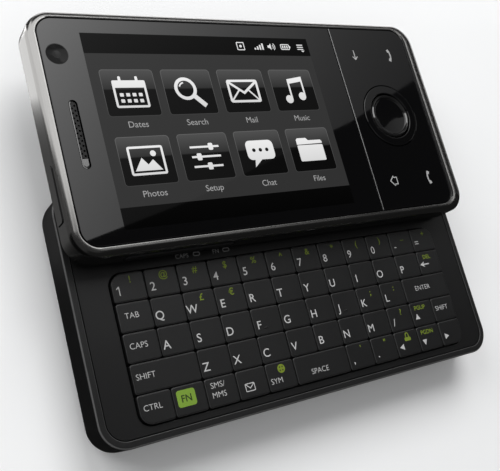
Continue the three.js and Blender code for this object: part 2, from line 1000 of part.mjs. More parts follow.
function navRing() {
  const top = displayTop + ringProud;
  const inner = enterRadius + enterGap;
  return turned(navX, 0, [
    [inner, ringBottom],
    [ringRadius, ringBottom],
    [ringRadius, top - enterDish / 2],
    [ringRadius - enterDish / 2, top],
    [inner + enterDish, top - enterDish / 2],
    [inner, top - enterDish],
    [inner, ringBottom],
  ]);
}

function enterButton() {
  const top = displayTop + enterProud;
  const bottom = domeSheetTop + navTravel + pressGap;
  return turned(navX, 0, [
    [0, bottom],
    [enterRadius, bottom],
    [enterRadius, top - enterDish / 2],
    [enterRadius - enterRimWidth / 2, top],
    [enterRadius - enterRimWidth, top - enterDish / 4],
    [enterRadius / 2, top - enterDish],
    [0, top - enterDish - enterDish / 4],
  ]);
}

function powerButton() {
  const cap = block(powerPlan, powerZ0, powerZ1);
  const flange = block(
    {
      x0: powerPlan.x1,
      x1: powerPlan.x1 + powerFlange,
      y0: powerPlan.y0 - powerFlangeReach,
      y1: powerPlan.y1 + powerFlangeReach,
    },
    backPlateTop + seatGap,
    frameLedgeBottom - seatGap,
  );
  const stem = block(
    { ...powerPlan, x1: powerPlan.x1 + powerFlange },
    backPlateTop + seatGap,
    frameLedgeBottom - seatGap,
  );
  return join(cap, flange, stem);
}

function volumeRocker() {
  const cap = block(rockerPlan, rockerZ0, rockerZ1);
  const flange = block(
    {
      x0: rockerPlan.x0 - rockerFlangeReach,
      x1: rockerPlan.x1 + rockerFlangeReach,
      y0: rockerPlan.y1 + seamGap,
      y1: rockerPlan.y1 + seamGap + powerFlange,
    },
    rockerZ0,
    rockerZ1,
  );
  const stem = block(
    { ...rockerPlan, y1: rockerPlan.y1 + seamGap + powerFlange },
    rockerZ0,
    rockerZ1,
  );
  return join(cap, flange, stem);
}

const baseHalf = new THREE.Group();
baseHalf.add(
  piece("base_housing", baseHousing(), finishes.softBlack),
  piece("keyboard_bezel", keyboardBezel(), finishes.deckBlack),
  piece("key_mat", keyMat(), finishes.rubber),
  piece("main_board", mainBoard(), finishes.circuit),
  piece("battery", battery(), finishes.label),
  piece("battery_cover", batteryCover(), finishes.softBlack),
  piece("sim_holder", simHolder(), finishes.steel),
  piece("rear_camera_module", rearCameraModule(), finishes.glossBlack),
  piece("rear_camera_window", rearCameraWindow(), finishes.smoked),
  piece("flash_lens", flashLens(), finishes.clear),
  piece("loudspeaker", loudspeaker(), finishes.darkMetal),
  piece("vibration_motor", vibrationMotor(), finishes.steel),
  piece("usb_socket", usbSocket(), finishes.steel),
  piece("stylus_silo", stylusSilo(), finishes.rubber),
  piece("stylus", stylus(), finishes.softBlack),
  piece("slide_runner_left", slideRunner(-1), finishes.steel),
  piece("slide_runner_right", slideRunner(1), finishes.steel),
  ...keyMeshes(),
);

const displayHalf = new THREE.Group();
displayHalf.add(
  piece("display_frame", displayFrame(), finishes.silver),
  piece("display_window", displayWindow(), finishes.glossBlack),
  piece("slider_back_plate", sliderBackPlate(), finishes.darkMetal),
  piece("display_board", displayBoard(), finishes.circuit),
  piece("lcd_module", lcdModule(), finishes.smoked),
  piece("earpiece_grille", earpieceGrille(), finishes.darkMetal),
  piece("earpiece_speaker", earpieceSpeaker(), finishes.darkMetal),
  piece("front_camera_module", frontCameraModule(), finishes.glossBlack),
  piece("nav_dome_sheet", navDomeSheet(), finishes.rubber),
  piece("nav_panel", navPanel(), finishes.glossBlack),
  piece("nav_gimbal", navGimbal(), finishes.steel),
  piece("nav_ring", navRing(), finishes.glossBlack),
  piece("enter_button", enterButton(), finishes.glossBlack),
  piece("power_button", powerButton(), finishes.silver),
  piece("volume_rocker", volumeRocker(), finishes.silver),
);
displayHalf.position.y = slideTravel;

const phone = new THREE.Group();
phone.add(baseHalf, displayHalf);
phone.updateMatrixWorld(true);

export default phone;
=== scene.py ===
"""Looks of the side-sliding phone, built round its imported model.

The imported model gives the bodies, the joints and the place of every piece. This script builds the
finished pieces on it: mouldings with rounded edges, key caps with their legends, the glass face
with its lit screen, the ring pad, and the studio and camera that show them.

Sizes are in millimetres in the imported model's frame, and become metres where a mesh is made.
"""

import logging
import math
from dataclasses import dataclass, replace
from enum import Enum
from typing import Callable, Sequence

import bmesh
import bpy
from mathutils import Matrix, Vector


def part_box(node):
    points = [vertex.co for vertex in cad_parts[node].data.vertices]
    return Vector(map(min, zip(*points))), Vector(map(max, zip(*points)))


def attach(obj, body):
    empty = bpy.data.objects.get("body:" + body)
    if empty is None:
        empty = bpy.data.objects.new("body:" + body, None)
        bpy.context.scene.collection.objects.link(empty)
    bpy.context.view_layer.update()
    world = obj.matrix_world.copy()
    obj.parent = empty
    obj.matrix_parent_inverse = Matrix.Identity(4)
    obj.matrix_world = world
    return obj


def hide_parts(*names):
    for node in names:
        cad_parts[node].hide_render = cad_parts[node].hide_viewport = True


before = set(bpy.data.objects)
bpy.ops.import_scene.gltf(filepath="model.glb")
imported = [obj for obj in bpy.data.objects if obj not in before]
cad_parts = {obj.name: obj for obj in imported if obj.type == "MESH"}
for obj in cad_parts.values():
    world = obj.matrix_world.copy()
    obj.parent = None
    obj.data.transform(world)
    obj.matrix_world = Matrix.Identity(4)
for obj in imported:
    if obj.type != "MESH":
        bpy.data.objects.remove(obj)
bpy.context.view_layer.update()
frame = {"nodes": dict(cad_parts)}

MM = 0.001
CORNER_STEPS = 14
EDGE_STEPS = 6
TURN_SIDES = 96
HOLD = 0.04
LEAST_RADIUS = 0.02
WELD_REACH = 0.0005
SHARP_DEGREES = 32.0
OVERRUN = 1.0
FONT_CAPITAL_SHARE = 0.729

log = logging.getLogger("slider_phone")

Object = bpy.types.Object
Material = bpy.types.Material
Tree = bpy.types.NodeTree
Node = bpy.types.Node
Socket = bpy.types.NodeSocket
Point = tuple[float, float]
Place = tuple[float, float, float]
Loop = list[Point]
Colour = tuple[float, float, float]


class Facing(Enum):
    """Which way the height of a loft or of a turned piece points."""

    UP = "up"
    ALONG_X = "along x"
    ALONG_Y = "along y"

    def place(self, u: float, v: float, w: float) -> Vector:
        """Point of the model for plan coordinates u, v and height w.

        Args:
            u: First plan coordinate: x, y or z as the facing is up, along x or along y.
            v: Second plan coordinate.
            w: Height.

        Returns:
            The point, in millimetres.
        """
        if self is Facing.UP:
            return Vector((u, v, w))
        if self is Facing.ALONG_X:
            return Vector((w, u, v))
        return Vector((v, w, u))


@dataclass(frozen=True)
class Plan:
    """Rectangle seen along a facing, in millimetres."""

    x0: float
    x1: float
    y0: float
    y1: float

    def inset(self, amount: float, across: float | None = None) -> "Plan":
        """The rectangle drawn in by an amount, or by another along the second coordinate."""
        across = amount if across is None else across
        return Plan(self.x0 + amount, self.x1 - amount, self.y0 + across, self.y1 - across)

    @property
    def centre(self) -> Point:
        """Middle of the rectangle."""
        return (self.x0 + self.x1) / 2, (self.y0 + self.y1) / 2

    @property
    def length(self) -> float:
        """Extent along the first coordinate."""
        return self.x1 - self.x0

    @property
    def width(self) -> float:
        """Extent along the second coordinate."""
        return self.y1 - self.y0


@dataclass(frozen=True)
class Corners:
    """Radii of a rounded rectangle: back right, back left, front left, front right."""

    back_right: float
    back_left: float
    front_left: float
    front_right: float

    @classmethod
    def of(cls, corners: "Corners | float") -> "Corners":
        """The corners themselves, or four corners of one radius."""
        return corners if isinstance(corners, cls) else cls(corners, corners, corners, corners)

    def drawn_in(self, amount: float) -> "Corners":
        """The radii after the outline is drawn in by an amount."""
        return Corners(*(max(radius - amount, LEAST_RADIUS) for radius in self.values()))

    def values(self) -> tuple[float, float, float, float]:
        """The radii, anticlockwise from the back right."""
        return self.back_right, self.back_left, self.front_left, self.front_right


@dataclass(frozen=True)
class Level:
    """One outline of a loft and its height."""

    plan: Plan
    corners: Corners
    height: float

    @classmethod
    def inset(cls, plan: Plan, corners: Corners | float, back: float, height: float) -> "Level":
        """Level whose outline is drawn in by an amount."""
        return cls(plan.inset(back), Corners.of(corners).drawn_in(back), height)


@dataclass(frozen=True)
class Space:
    """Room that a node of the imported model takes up."""

    plan: Plan
    z0: float
    z1: float

    @property
    def end_view(self) -> Plan:
        """Its rectangle in y and z."""
        return Plan(self.plan.y0, self.plan.y1, self.z0, self.z1)

    @property
    def side_view(self) -> Plan:
        """Its rectangle in z and x."""
        return Plan(self.z0, self.z1, self.plan.x0, self.plan.x1)


def space(node: str) -> Space:
    """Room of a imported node, in millimetres.

    Args:
        node: Name of the node.

    Returns:
        Its plan rectangle and heights at rest.
    """
    low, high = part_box(node)
    plan = Plan(low[0] / MM, high[0] / MM, low[1] / MM, high[1] / MM)
    return Space(plan, low[2] / MM, high[2] / MM)


def key_field() -> Plan:
    """Rectangle from the first key to the last."""
    first, last = space("keys_1_to_6").plan, space("key_right").plan
    return Plan(first.x0, last.x1, last.y0, first.y1)


def outline(plan: Plan, corners: Corners | float, steps: int = CORNER_STEPS) -> Loop:
    """Points of a rounded rectangle, anticlockwise from its right side.

    Args:
        plan: The rectangle.
        corners: The radii of its corners, or the one radius of all.
        steps: Steps in each corner.

    Returns:
        The points.
    """
    points = []
    for corner, radius in enumerate(Corners.of(corners).values()):
        x = plan.x1 - radius if corner in (0, 3) else plan.x0 + radius
        y = plan.y1 - radius if corner in (0, 1) else plan.y0 + radius
        for step in range(steps + 1):
            angle = (corner + step / steps) * math.pi / 2
            points.append((x + radius * math.cos(angle), y + radius * math.sin(angle)))
    return points


def quarter(radius: float, steps: int = EDGE_STEPS) -> list[Point]:
    """Points of a quarter round, by their distances from its two tangents.

    Args:
        radius: Its radius.
        steps: Steps along it.

    Returns:
        The pairs, from none and the radius to the radius and none.
    """
    angles = [step / steps * math.pi / 2 for step in range(steps + 1)]
    return [(radius * (1 - math.cos(a)), radius * (1 - math.sin(a))) for a in angles]


def new_object(name: str, mesh: bpy.types.Mesh) -> Object:
    """Links a mesh to the scene as an object at the origin.

    Args:
        name: Name of the object.
        mesh: Its mesh, in metres.

    Returns:
        The object.
    """
    obj = bpy.data.objects.new(name, mesh)
    bpy.context.scene.collection.objects.link(obj)
    return obj


def mesh_object(name: str, points: Sequence[Vector], faces: Sequence[Sequence[int]]) -> Object:
    """Object from points in millimetres and faces.

    Args:
        name: Name of the object.
        points: The corners of its mesh.
        faces: Indices of each face's corners, anticlockwise from outside.

    Returns:
        The object, in metres.
    """
    mesh = bpy.data.meshes.new(name)
    mesh.from_pydata([point * MM for point in points], [], faces)
    mesh.update()
    return new_object(name, mesh)


def loft(
    name: str, levels: Sequence[Level], facing: Facing = Facing.UP, steps: int = CORNER_STEPS,
    closed: bool = False,
) -> Object:
    """Closed solid through rounded rectangles.

    Args:
        name: Name of the object.
        levels: The outlines, from the foot up.
        facing: Which way the heights point.
        steps: Steps in each corner.
        closed: True joins the last outline to the first, as in a frame; otherwise both are capped.

    Returns:
        The object.
    """
    points = []
    for level in levels:
        ring = outline(level.plan, level.corners, steps)
        points.extend(facing.place(u, v, level.height) for u, v in ring)
    count = 4 * (steps + 1)
    starts = [index * count for index in range(len(levels))]
    pairs = list(zip(starts, starts[1:]))
    if closed:
        pairs.append((starts[-1], 0))
    faces = []
    for low, high in pairs:
        for i in range(count):
            j = (i + 1) % count
            faces.append((low + i, low + j, high + j, high + i))
    if not closed:
        faces.append(tuple(reversed(range(count))))
        faces.append(tuple(range(starts[-1], starts[-1] + count)))
    return mesh_object(name, points, faces)


def turned(
    name: str, centre: Point, profile: Sequence[Point], facing: Facing = Facing.UP,
    sides: int = TURN_SIDES, closed: bool = False,
) -> Object:
    """Turned solid about an axis.

    Args:
        name: Name of the object.
        centre: Where the axis stands in the plan of the facing.
        profile: Radius and height pairs, from the foot out and up; a radius of zero is a pole.
        facing: Which way the axis points.
        sides: Steps round the axis.
        closed: True joins the last pair to the first, as in a ring.

    Returns:
        The object.
    """
    points: list[Vector] = []
    rings: list[list[int]] = []
    for radius, height in profile:
        start = len(points)
        if radius == 0:
            points.append(facing.place(centre[0], centre[1], height))
            rings.append([start] * sides)
            continue
        for i in range(sides):
            angle = 2 * math.pi * i / sides
            u = centre[0] + radius * math.cos(angle)
            v = centre[1] + radius * math.sin(angle)
            points.append(facing.place(u, v, height))
        rings.append(list(range(start, start + sides)))
    pairs = list(zip(rings, rings[1:]))
    if closed:
        pairs.append((rings[-1], rings[0]))
    faces = []
    for low, high in pairs:
        for i in range(sides):
            j = (i + 1) % sides
            faces.append(tuple(dict.fromkeys((low[i], low[j], high[j], high[i]))))
    return mesh_object(name, points, faces)


def drum(
    name: str, centre: Point, radius: float, low: float, high: float, sides: int = 64,
    facing: Facing = Facing.UP,
) -> Object:
    """Round solid with flat ends.

    Args:
        name: Name of the object.
        centre: Where its axis stands in the plan of the facing.
        radius: Its radius.
        low: Height of its foot.
        high: Height of its top.
        sides: Steps round the axis.
        facing: Which way the axis points.

    Returns:
        The object.
    """
    return turned(name, centre, [(0, low), (radius, low), (radius, high), (0, high)], facing, sides)


def plate(
    name: str, plan: Plan, corners: Corners | float, z0: float, z1: float, foot: float = 0.05,
    top: float = 0.05, facing: Facing = Facing.UP, steps: int = CORNER_STEPS,
) -> Object:
    """Plate whose lower and upper edges are quarter rounds.

    Each flat has a holding outline just inside its edge, so that it shades flat.

    Args:
        name: Name of the object.
        plan: The plate's rectangle.
        corners: The radii of its corners, or the one radius of all.
        z0: Height of its foot.
        z1: Height of its top.
        foot: Radius of the lower edge.
        top: Radius of the upper edge.
        facing: Which way the heights point.
        steps: Steps in each corner.

    Returns:
        The object.
    """
    lower = [Level.inset(plan, corners, back, z0 + rise) for back, rise in quarter(foot)]
    lower.append(Level.inset(plan, corners, foot + HOLD, z0))
    upper = [Level.inset(plan, corners, back, z1 - drop) for back, drop in quarter(top)]
    upper.append(Level.inset(plan, corners, top + HOLD, z1))
    return loft(name, [*reversed(lower), *upper], facing, steps)


def settle(obj: Object) -> None:
    """Makes an object's modifiers part of its mesh.

    Args:
        obj: The object.
    """
    graph = bpy.context.evaluated_depsgraph_get()
    mesh = bpy.data.meshes.new_from_object(obj.evaluated_get(graph))
    old = obj.data
    obj.modifiers.clear()
    obj.data = mesh
    bpy.data.meshes.remove(old)
    mesh.name = obj.name


def discard(obj: Object) -> None:
    """Removes a helper object."""
    bpy.data.objects.remove(obj)


def carve(obj: Object, cutters: Sequence[Object], operation: str = "DIFFERENCE") -> None:
    """Cuts helper solids out of an object, or keeps what they share, and removes them.

    Args:
        obj: The piece that is cut.
        cutters: Closed solids.
        operation: Kind of Boolean.
    """
    for cutter in cutters:
        cut = obj.modifiers.new("cut", "BOOLEAN")
        cut.operation = operation
        cut.solver = "EXACT"
        cut.object = cutter
    settle(obj)
    for cutter in cutters:
        discard(cutter)


def merge(name: str, parts: Sequence[Object]) -> Object:
    """One object from several of the same finish.

    Args:
        name: Name of the new object.
        parts: The objects, which are removed.

    Returns:
        The object.
    """
    together = bmesh.new()
    for part in parts:
        together.from_mesh(part.data)
        discard(part)
    mesh = bpy.data.meshes.new(name)
    together.to_mesh(mesh)
    together.free()
    return new_object(name, mesh)


def curve_mesh(name: str, curve: bpy.types.Curve, place: Matrix) -> Object:
    """Mesh object from a text or flat curve.

    Args:
        name: Name of the object.
        curve: The curve, which is removed.
        place: From the curve's own units to metres in the model's frame.

    Returns:
        The object, with its place in its mesh.
    """
    holder = bpy.data.objects.new(name + "_curve", curve)
    bpy.context.scene.collection.objects.link(holder)
    graph = bpy.context.evaluated_depsgraph_get()
    mesh = bpy.data.meshes.new_from_object(holder.evaluated_get(graph))
    discard(holder)
    bpy.data.curves.remove(curve)
    mesh.transform(place)
    obj = new_object(name, mesh)
    weld = obj.modifiers.new("weld", "WELD")
    weld.merge_threshold = WELD_REACH * MM
    settle(obj)
    return obj


def lettering(
    name: str, text: str, capital: float, centre: Point, z: float, depth: float,
    boldness: float = 0.0,
) -> Object:
    """Printed characters, as a thin solid that lies on a surface.

    Args:
        name: Name of the object.
        text: The characters.
        capital: Height of a capital letter.
        centre: Middle of the word, halfway up a capital.
        z: Height of the surface.
        depth: Thickness of the print.
        boldness: How far each stroke is swollen, as a share of the letter size.

    Returns:
        The object.
    """
    size = capital / FONT_CAPITAL_SHARE
    curve = bpy.data.curves.new(name, "FONT")
    curve.body = text
    curve.size = 1
    curve.align_x = "CENTER"
    curve.offset = boldness
    curve.resolution_u = 4
    curve.extrude = depth / size / 2
    baseline = centre[1] - capital / 2
    spot = Matrix.Translation(Vector((centre[0], baseline, z + depth / 2)) * MM)
    return curve_mesh(name, curve, spot @ Matrix.Scale(size * MM, 4))


def flat_print(name: str, loops: Sequence[Loop], z: float, depth: float) -> Object:
    """Printed shape, as a thin solid that lies on a surface.

    Args:
        name: Name of the object.
        loops: Closed outlines; one inside another is a hole.
        z: Height of the surface.
        depth: Thickness of the print.

    Returns:
        The object.
    """
    curve = bpy.data.curves.new(name, "CURVE")
    curve.dimensions = "2D"
    curve.fill_mode = "BOTH"
    curve.extrude = depth / 2
    for loop in loops:
        spline = curve.splines.new("POLY")
        spline.points.add(len(loop) - 1)
        for point, (x, y) in zip(spline.points, loop):
            point.co = (x, y, 0, 1)
        spline.use_cyclic_u = True
    spot = Matrix.Translation(Vector((0, 0, (z + depth / 2) * MM)))
    return curve_mesh(name, curve, spot @ Matrix.Scale(MM, 4))


def arc(centre: Point, radius: float, start: float, end: float, steps: int = 16) -> Loop:
    """Points of an arc.

    Args:
        centre: Its middle.
        radius: Its radius.
        start: Angle of its first point, in degrees.
        end: Angle of its last point, in degrees.
        steps: Steps along it.

    Returns:
        The points.
    """
    angles = [math.radians(start + (end - start) * i / steps) for i in range(steps + 1)]
    return [(centre[0] + radius * math.cos(a), centre[1] + radius * math.sin(a)) for a in angles]


def disc(centre: Point, radius: float, steps: int = 24) -> Loop:
    """Points of a full circle."""
    return arc(centre, radius, 0, 360, steps)[:-1]


def ribbon(points: Loop, width: float, closed: bool = False) -> list[Loop]:
    """Outline of a stroke of even width along a line.

    Args:
        points: The line.
        width: Width of the stroke.
        closed: True joins its end to its start.

    Returns:
        One loop, or an outer and an inner loop for a closed line.
    """
    sides: tuple[Loop, Loop] = ([], [])
    count = len(points)
    for i, (x, y) in enumerate(points):
        before = points[i - 1] if closed or i > 0 else points[i]
        after = points[(i + 1) % count] if closed or i < count - 1 else points[i]
        here = Vector((x, y))
        back = here - Vector(before)
        ahead = Vector(after) - here
        back = back.normalized() if back.length else ahead.normalized()
        ahead = ahead.normalized() if ahead.length else back
        across = Vector((-back.y - ahead.y, back.x + ahead.x)).normalized()
        lean = max(across.dot(Vector((-ahead.y, ahead.x))), 0.4)
        reach = across * (width / 2 / lean)
        sides[0].append((x + reach.x, y + reach.y))
        sides[1].append((x - reach.x, y - reach.y))
    if closed:
        return [sides[0], sides[1]]
    return [sides[0] + sides[1][::-1]]


def panel_uv(obj: Object, plan: Plan) -> None:
    """Lays a map over an object that runs from 0 to 1 across a rectangle.

    Args:
        obj: The object.
        plan: The rectangle, in millimetres.
    """
    layer = obj.data.uv_layers.new(name="panel")
    for loop in obj.data.loops:
        place = obj.data.vertices[loop.vertex_index].co
        u = (place.x / MM - plan.x0) / plan.length
        v = (place.y / MM - plan.y0) / plan.width
        layer.data[loop.index].uv = (u, v)


def finish_faces(
    obj: Object, first: Material, second: Material, chosen: Callable[[Vector, Vector], bool]
) -> None:
    """Gives some faces of an object a second finish.

    Args:
        obj: The object.
        first: Finish of the other faces.
        second: Finish of the chosen faces.
        chosen: Says from a face's middle, in millimetres, and its normal whether it is chosen.
    """
    obj.data.materials.clear()
    obj.data.materials.append(first)
    obj.data.materials.append(second)
    for face in obj.data.polygons:
        face.material_index = int(chosen(face.center / MM, face.normal))


def feed(tree: Tree, node: Node, sources: dict[str | int, object]) -> None:
    """Gives inputs of a node what they take.

    Args:
        tree: The node tree.
        node: The node.
        sources: By name or number of the input, an output that feeds it or a plain value.
    """
    for key, source in sources.items():
        if isinstance(source, Socket):
            tree.links.new(source, node.inputs[key])
        else:
            node.inputs[key].default_value = source


def add_node(
    tree: Tree, kind: str, sources: dict[str | int, object] | None = None, **settings: object
) -> Node:
    """New node with its settings and inputs.

    Args:
        tree: The node tree that it joins.
        kind: Type of the node.
        sources: What its inputs take, as in feed.
        settings: Its own settings, by name.

    Returns:
        The node.
    """
    node = tree.nodes.new(kind)
    for name, value in settings.items():
        setattr(node, name, value)
    feed(tree, node, sources or {})
    return node


def add_math(tree: Tree, operation: str, *sources: object) -> Socket:
    """Output of a new Math node whose inputs take outputs or plain values, in order."""
    node = add_node(tree, "ShaderNodeMath", dict(enumerate(sources)), operation=operation)
    return node.outputs[0]


def opaque(colour: Colour) -> tuple[float, float, float, float]:
    """Colour with full alpha."""
    return (*colour, 1)


def grey(value: float) -> Colour:
    """Neutral colour."""
    return (value, value, value)


class NodeGroups:
    """Shader effects that several finishes share."""

    def __init__(self) -> None:
        """Builds the groups once."""
        self.grain = self._grain()
        self.brushed = self._brushed()
        self.handling = self._handling()
        self.glow = self._glow()

    @staticmethod
    def _new(name: str, inputs: dict[str, object], outputs: Sequence[str]) -> Tree:
        """Empty group with its sockets.

        Args:
            name: Name of the group.
            inputs: Default value of each input: none for a vector, four numbers for a colour.
            outputs: Name of each output.

        Returns:
            The node tree.
        """
        tree = bpy.data.node_groups.new(name, "ShaderNodeTree")
        new_socket = tree.interface.new_socket
        for label, value in inputs.items():
            kind = "Vector" if value is None else "Color" if isinstance(value, tuple) else "Float"
            socket = new_socket(label, in_out="INPUT", socket_type="NodeSocket" + kind)
            if value is not None:
                socket.default_value = value
        for label in outputs:
            kind = "Color" if label == "Colour" else "Float"
            new_socket(label, in_out="OUTPUT", socket_type="NodeSocket" + kind)
        tree.nodes.new("NodeGroupInput").name = "in"
        tree.nodes.new("NodeGroupOutput").name = "out"
        return tree

    @staticmethod
    def _noise(tree: Tree, detail: float, sources: dict[str, object]) -> Socket:
        """Output of a noise node with a set level of detail."""
        sources = {"Detail": detail, "Roughness": 0.6, **sources}
        return add_node(tree, "ShaderNodeTexNoise", sources).outputs["Fac"]

    @staticmethod
    def _spread(tree: Tree, value: Socket, base: object, spread: Socket) -> Socket:
        """Wires base + (value - 0.5) * spread.

        Args:
            tree: The group.
            value: Output that lies between 0 and 1.
            base: The middle value.
            spread: The whole width of the change.

        Returns:
            The output of the sum.
        """
        centred = add_math(tree, "SUBTRACT", value, 0.5)
        return add_math(tree, "MULTIPLY_ADD", centred, spread, base)

    def _vary(self, tree: Tree, tone: Socket, height: Socket) -> Tree:
        """Wires a group's colour and roughness to one noise and its height to another.

        Args:
            tree: The group.
            tone: Noise of the colour and roughness.
            height: Noise of the height.

        Returns:
            The group.
        """
        source = tree.nodes["in"].outputs
        shade = self._spread(tree, tone, 1.0, source["Tone Spread"])
        tint = add_node(
            tree, "ShaderNodeVectorMath", {0: source["Colour"], "Scale": shade}, operation="SCALE"
        )
        rough = self._spread(tree, tone, source["Roughness"], source["Roughness Spread"])
        results = {"Colour": tint.outputs[0], "Roughness": rough, "Height": height}
        feed(tree, tree.nodes["out"], results)
        return tree

    def _grain(self) -> Tree:
        """Fine moulded or painted grain: colour, roughness and height that vary a little.

        Returns:
            The node tree.
        """
        inputs = {
            "Vector": None, "Colour": opaque(grey(0.02)), "Fineness": 6000.0, "Tone Spread": 0.3,
            "Roughness": 0.5, "Roughness Spread": 0.1,
        }
        tree = self._new("moulded_grain", inputs, ("Colour", "Roughness", "Height"))
        source = tree.nodes["in"].outputs
        fine = self._noise(tree, 3, {"Vector": source["Vector"], "Scale": source["Fineness"]})
        broad = self._noise(tree, 4, {"Vector": source["Vector"], "Scale": 120})
        return self._vary(tree, broad, fine)

    def _brushed(self) -> Tree:
        """Fine streaks that run level round a metal edge.

        Returns:
            The node tree.
        """
        inputs = {
            "Vector": None, "Colour": opaque(grey(0.3)), "Tone Spread": 0.3, "Roughness": 0.3,
            "Roughness Spread": 0.2,
        }
        tree = self._new("brushed_streaks", inputs, ("Colour", "Roughness", "Height"))
        sources = {0: tree.nodes["in"].outputs["Vector"], 1: (60, 60, 9000)}
        stretch = add_node(tree, "ShaderNodeVectorMath", sources, operation="MULTIPLY")
        streaks = self._noise(tree, 4, {"Vector": stretch.outputs[0], "Scale": 1})
        return self._vary(tree, streaks, streaks)

    def _handling(self) -> Tree:
        """Faint wiping marks on a polished surface, as a change of roughness.

        Returns:
            The node tree.
        """
        inputs = {"Vector": None, "Roughness": 0.05, "Marks": 0.06, "Coarseness": 90.0}
        tree = self._new("handling_marks", inputs, ("Roughness", "Height"))
        source = tree.nodes["in"].outputs
        scales = {"Scale": source["Coarseness"], "Distortion": 0.8}
        wipe = self._noise(tree, 6, {"Vector": source["Vector"], **scales})
        ends = {"From Min": 0.5, "From Max": 0.75}
        marks = add_node(tree, "ShaderNodeMapRange", {"Value": wipe, **ends}).outputs["Result"]
        rough = add_math(tree, "MULTIPLY_ADD", marks, source["Marks"], source["Roughness"])
        feed(tree, tree.nodes["out"], {"Roughness": rough, "Height": wipe})
        return tree

    def _glow(self) -> Tree:
        """Colour of a lit panel that turns from its foot to its head at a set height.

        Returns:
            The node tree.
        """
        inputs = {
            "Vector": None, "Foot": opaque(grey(0.01)), "Waist": opaque(grey(0.03)),
            "Head": opaque(grey(0.07)), "Turn": 0.55, "Softness": 0.03,
        }
        tree = self._new("panel_glow", inputs, ("Colour",))
        source = tree.nodes["in"].outputs
        height = add_node(tree, "ShaderNodeSeparateXYZ", {0: source["Vector"]}).outputs["Y"]
        upper_end = add_math(tree, "ADD", source["Turn"], source["Softness"])
        turn = {"Value": height, "From Min": source["Turn"]}
        rise = add_node(tree, "ShaderNodeMapRange", turn).outputs["Result"]
        turn["From Max"] = upper_end
        step = add_node(tree, "ShaderNodeMapRange", turn).outputs["Result"]
        upper = self._mix(tree, rise, source["Waist"], source["Head"])
        feed(tree, tree.nodes["out"], {"Colour": self._mix(tree, step, source["Foot"], upper)})
        return tree

    @staticmethod
    def _mix(tree: Tree, factor: Socket, first: Socket, second: Socket) -> Socket:
        """Output of a colour mix, whose colours are its inputs 6 and 7 and its output 2."""
        sources = {0: factor, 6: first, 7: second}
        return add_node(tree, "ShaderNodeMix", sources, data_type="RGBA").outputs[2]


GROUPS = NodeGroups()


class Texture(Enum):
    """What varies over a surface."""

    GRAIN = "grain"
    BRUSHED = "brushed"


def start_material(name: str) -> tuple[Material, Node, Socket]:
    """Material with its surface shader and coordinates.

    Args:
        name: Name of the material.

    Returns:
        The material, its Principled shader and the object coordinates.
    """
    material = bpy.data.materials.new(name)
    material.use_nodes = True
    place = add_node(material.node_tree, "ShaderNodeTexCoord").outputs["Object"]
    return material, material.node_tree.nodes["Principled BSDF"], place


@dataclass(frozen=True)
class Finish:
    """Moulded, painted or metal surface with its grain."""

    name: str
    colour: Colour
    roughness: float
    texture: Texture = Texture.GRAIN
    metallic: float = 0.0
    specular: float = 0.5
    coat: float = 0.0
    tone_spread: float = 0.3
    roughness_spread: float = 0.12
    fineness: float = 5000.0
    relief: float = 0.004

    def material(self) -> Material:
        """Builds the material.

        Returns:
            The material.
        """
        material, surface, place = start_material(self.name)
        tree = material.node_tree
        grained = self.texture is Texture.GRAIN
        sources = {
            "Vector": place, "Colour": opaque(self.colour), "Tone Spread": self.tone_spread,
            "Roughness": self.roughness, "Roughness Spread": self.roughness_spread,
        }
        if grained:
            sources["Fineness"] = self.fineness
        texture = GROUPS.grain if grained else GROUPS.brushed
        group = add_node(tree, "ShaderNodeGroup", sources, node_tree=texture).outputs
        relief = {"Strength": 0.6, "Distance": self.relief * MM, "Height": group["Height"]}
        feed(tree, surface, {
            "Metallic": self.metallic, "Specular IOR Level": self.specular,
            "Coat Weight": self.coat, "Coat Roughness": 0.05,
            "Base Color": group["Colour"], "Roughness": group["Roughness"],
            "Normal": add_node(tree, "ShaderNodeBump", relief).outputs["Normal"],
        })
        return material


@dataclass(frozen=True)
class Polish:
    """Polished glass or lacquer with faint wiping marks."""

    name: str
    colour: Colour
    roughness: float = 0.03
    marks: float = 0.05
    metallic: float = 0.0
    specular: float = 0.5
    ior: float = 1.5

    def material(self) -> Material:
        """Builds the material.

        Returns:
            The material.
        """
        material, surface, place = start_material(self.name)
        tree = material.node_tree
        sources = {"Vector": place, "Roughness": self.roughness, "Marks": self.marks}
        group = add_node(tree, "ShaderNodeGroup", sources, node_tree=GROUPS.handling)
        feed(tree, surface, {
            "Base Color": opaque(self.colour), "Metallic": self.metallic, "IOR": self.ior,
            "Specular IOR Level": self.specular, "Roughness": group.outputs["Roughness"],
        })
        return material


@dataclass(frozen=True)
class LitPanel:
    """Part of the lit screen, seen through polished glass."""

    name: str
    foot: Colour
    waist: Colour
    head: Colour
    turn: float = 0.0
    strength: float = 1.0
    specular: float = 0.05

    def material(self) -> Material:
        """Builds the material, which follows the piece's own panel map.

        Returns:
            The material.
        """
        material, surface, _ = start_material(self.name)
        tree = material.node_tree
        sources = {
            "Vector": add_node(tree, "ShaderNodeUVMap", uv_map="panel").outputs["UV"],
            "Foot": opaque(self.foot), "Waist": opaque(self.waist), "Head": opaque(self.head),
            "Turn": self.turn,
        }
        group = add_node(tree, "ShaderNodeGroup", sources, node_tree=GROUPS.glow)
        feed(tree, surface, {
            "Base Color": opaque(grey(0.001)), "Roughness": 0.03,
            "Specular IOR Level": self.specular, "Emission Strength": self.strength,
            "Emission Color": group.outputs["Colour"],
        })
        return material


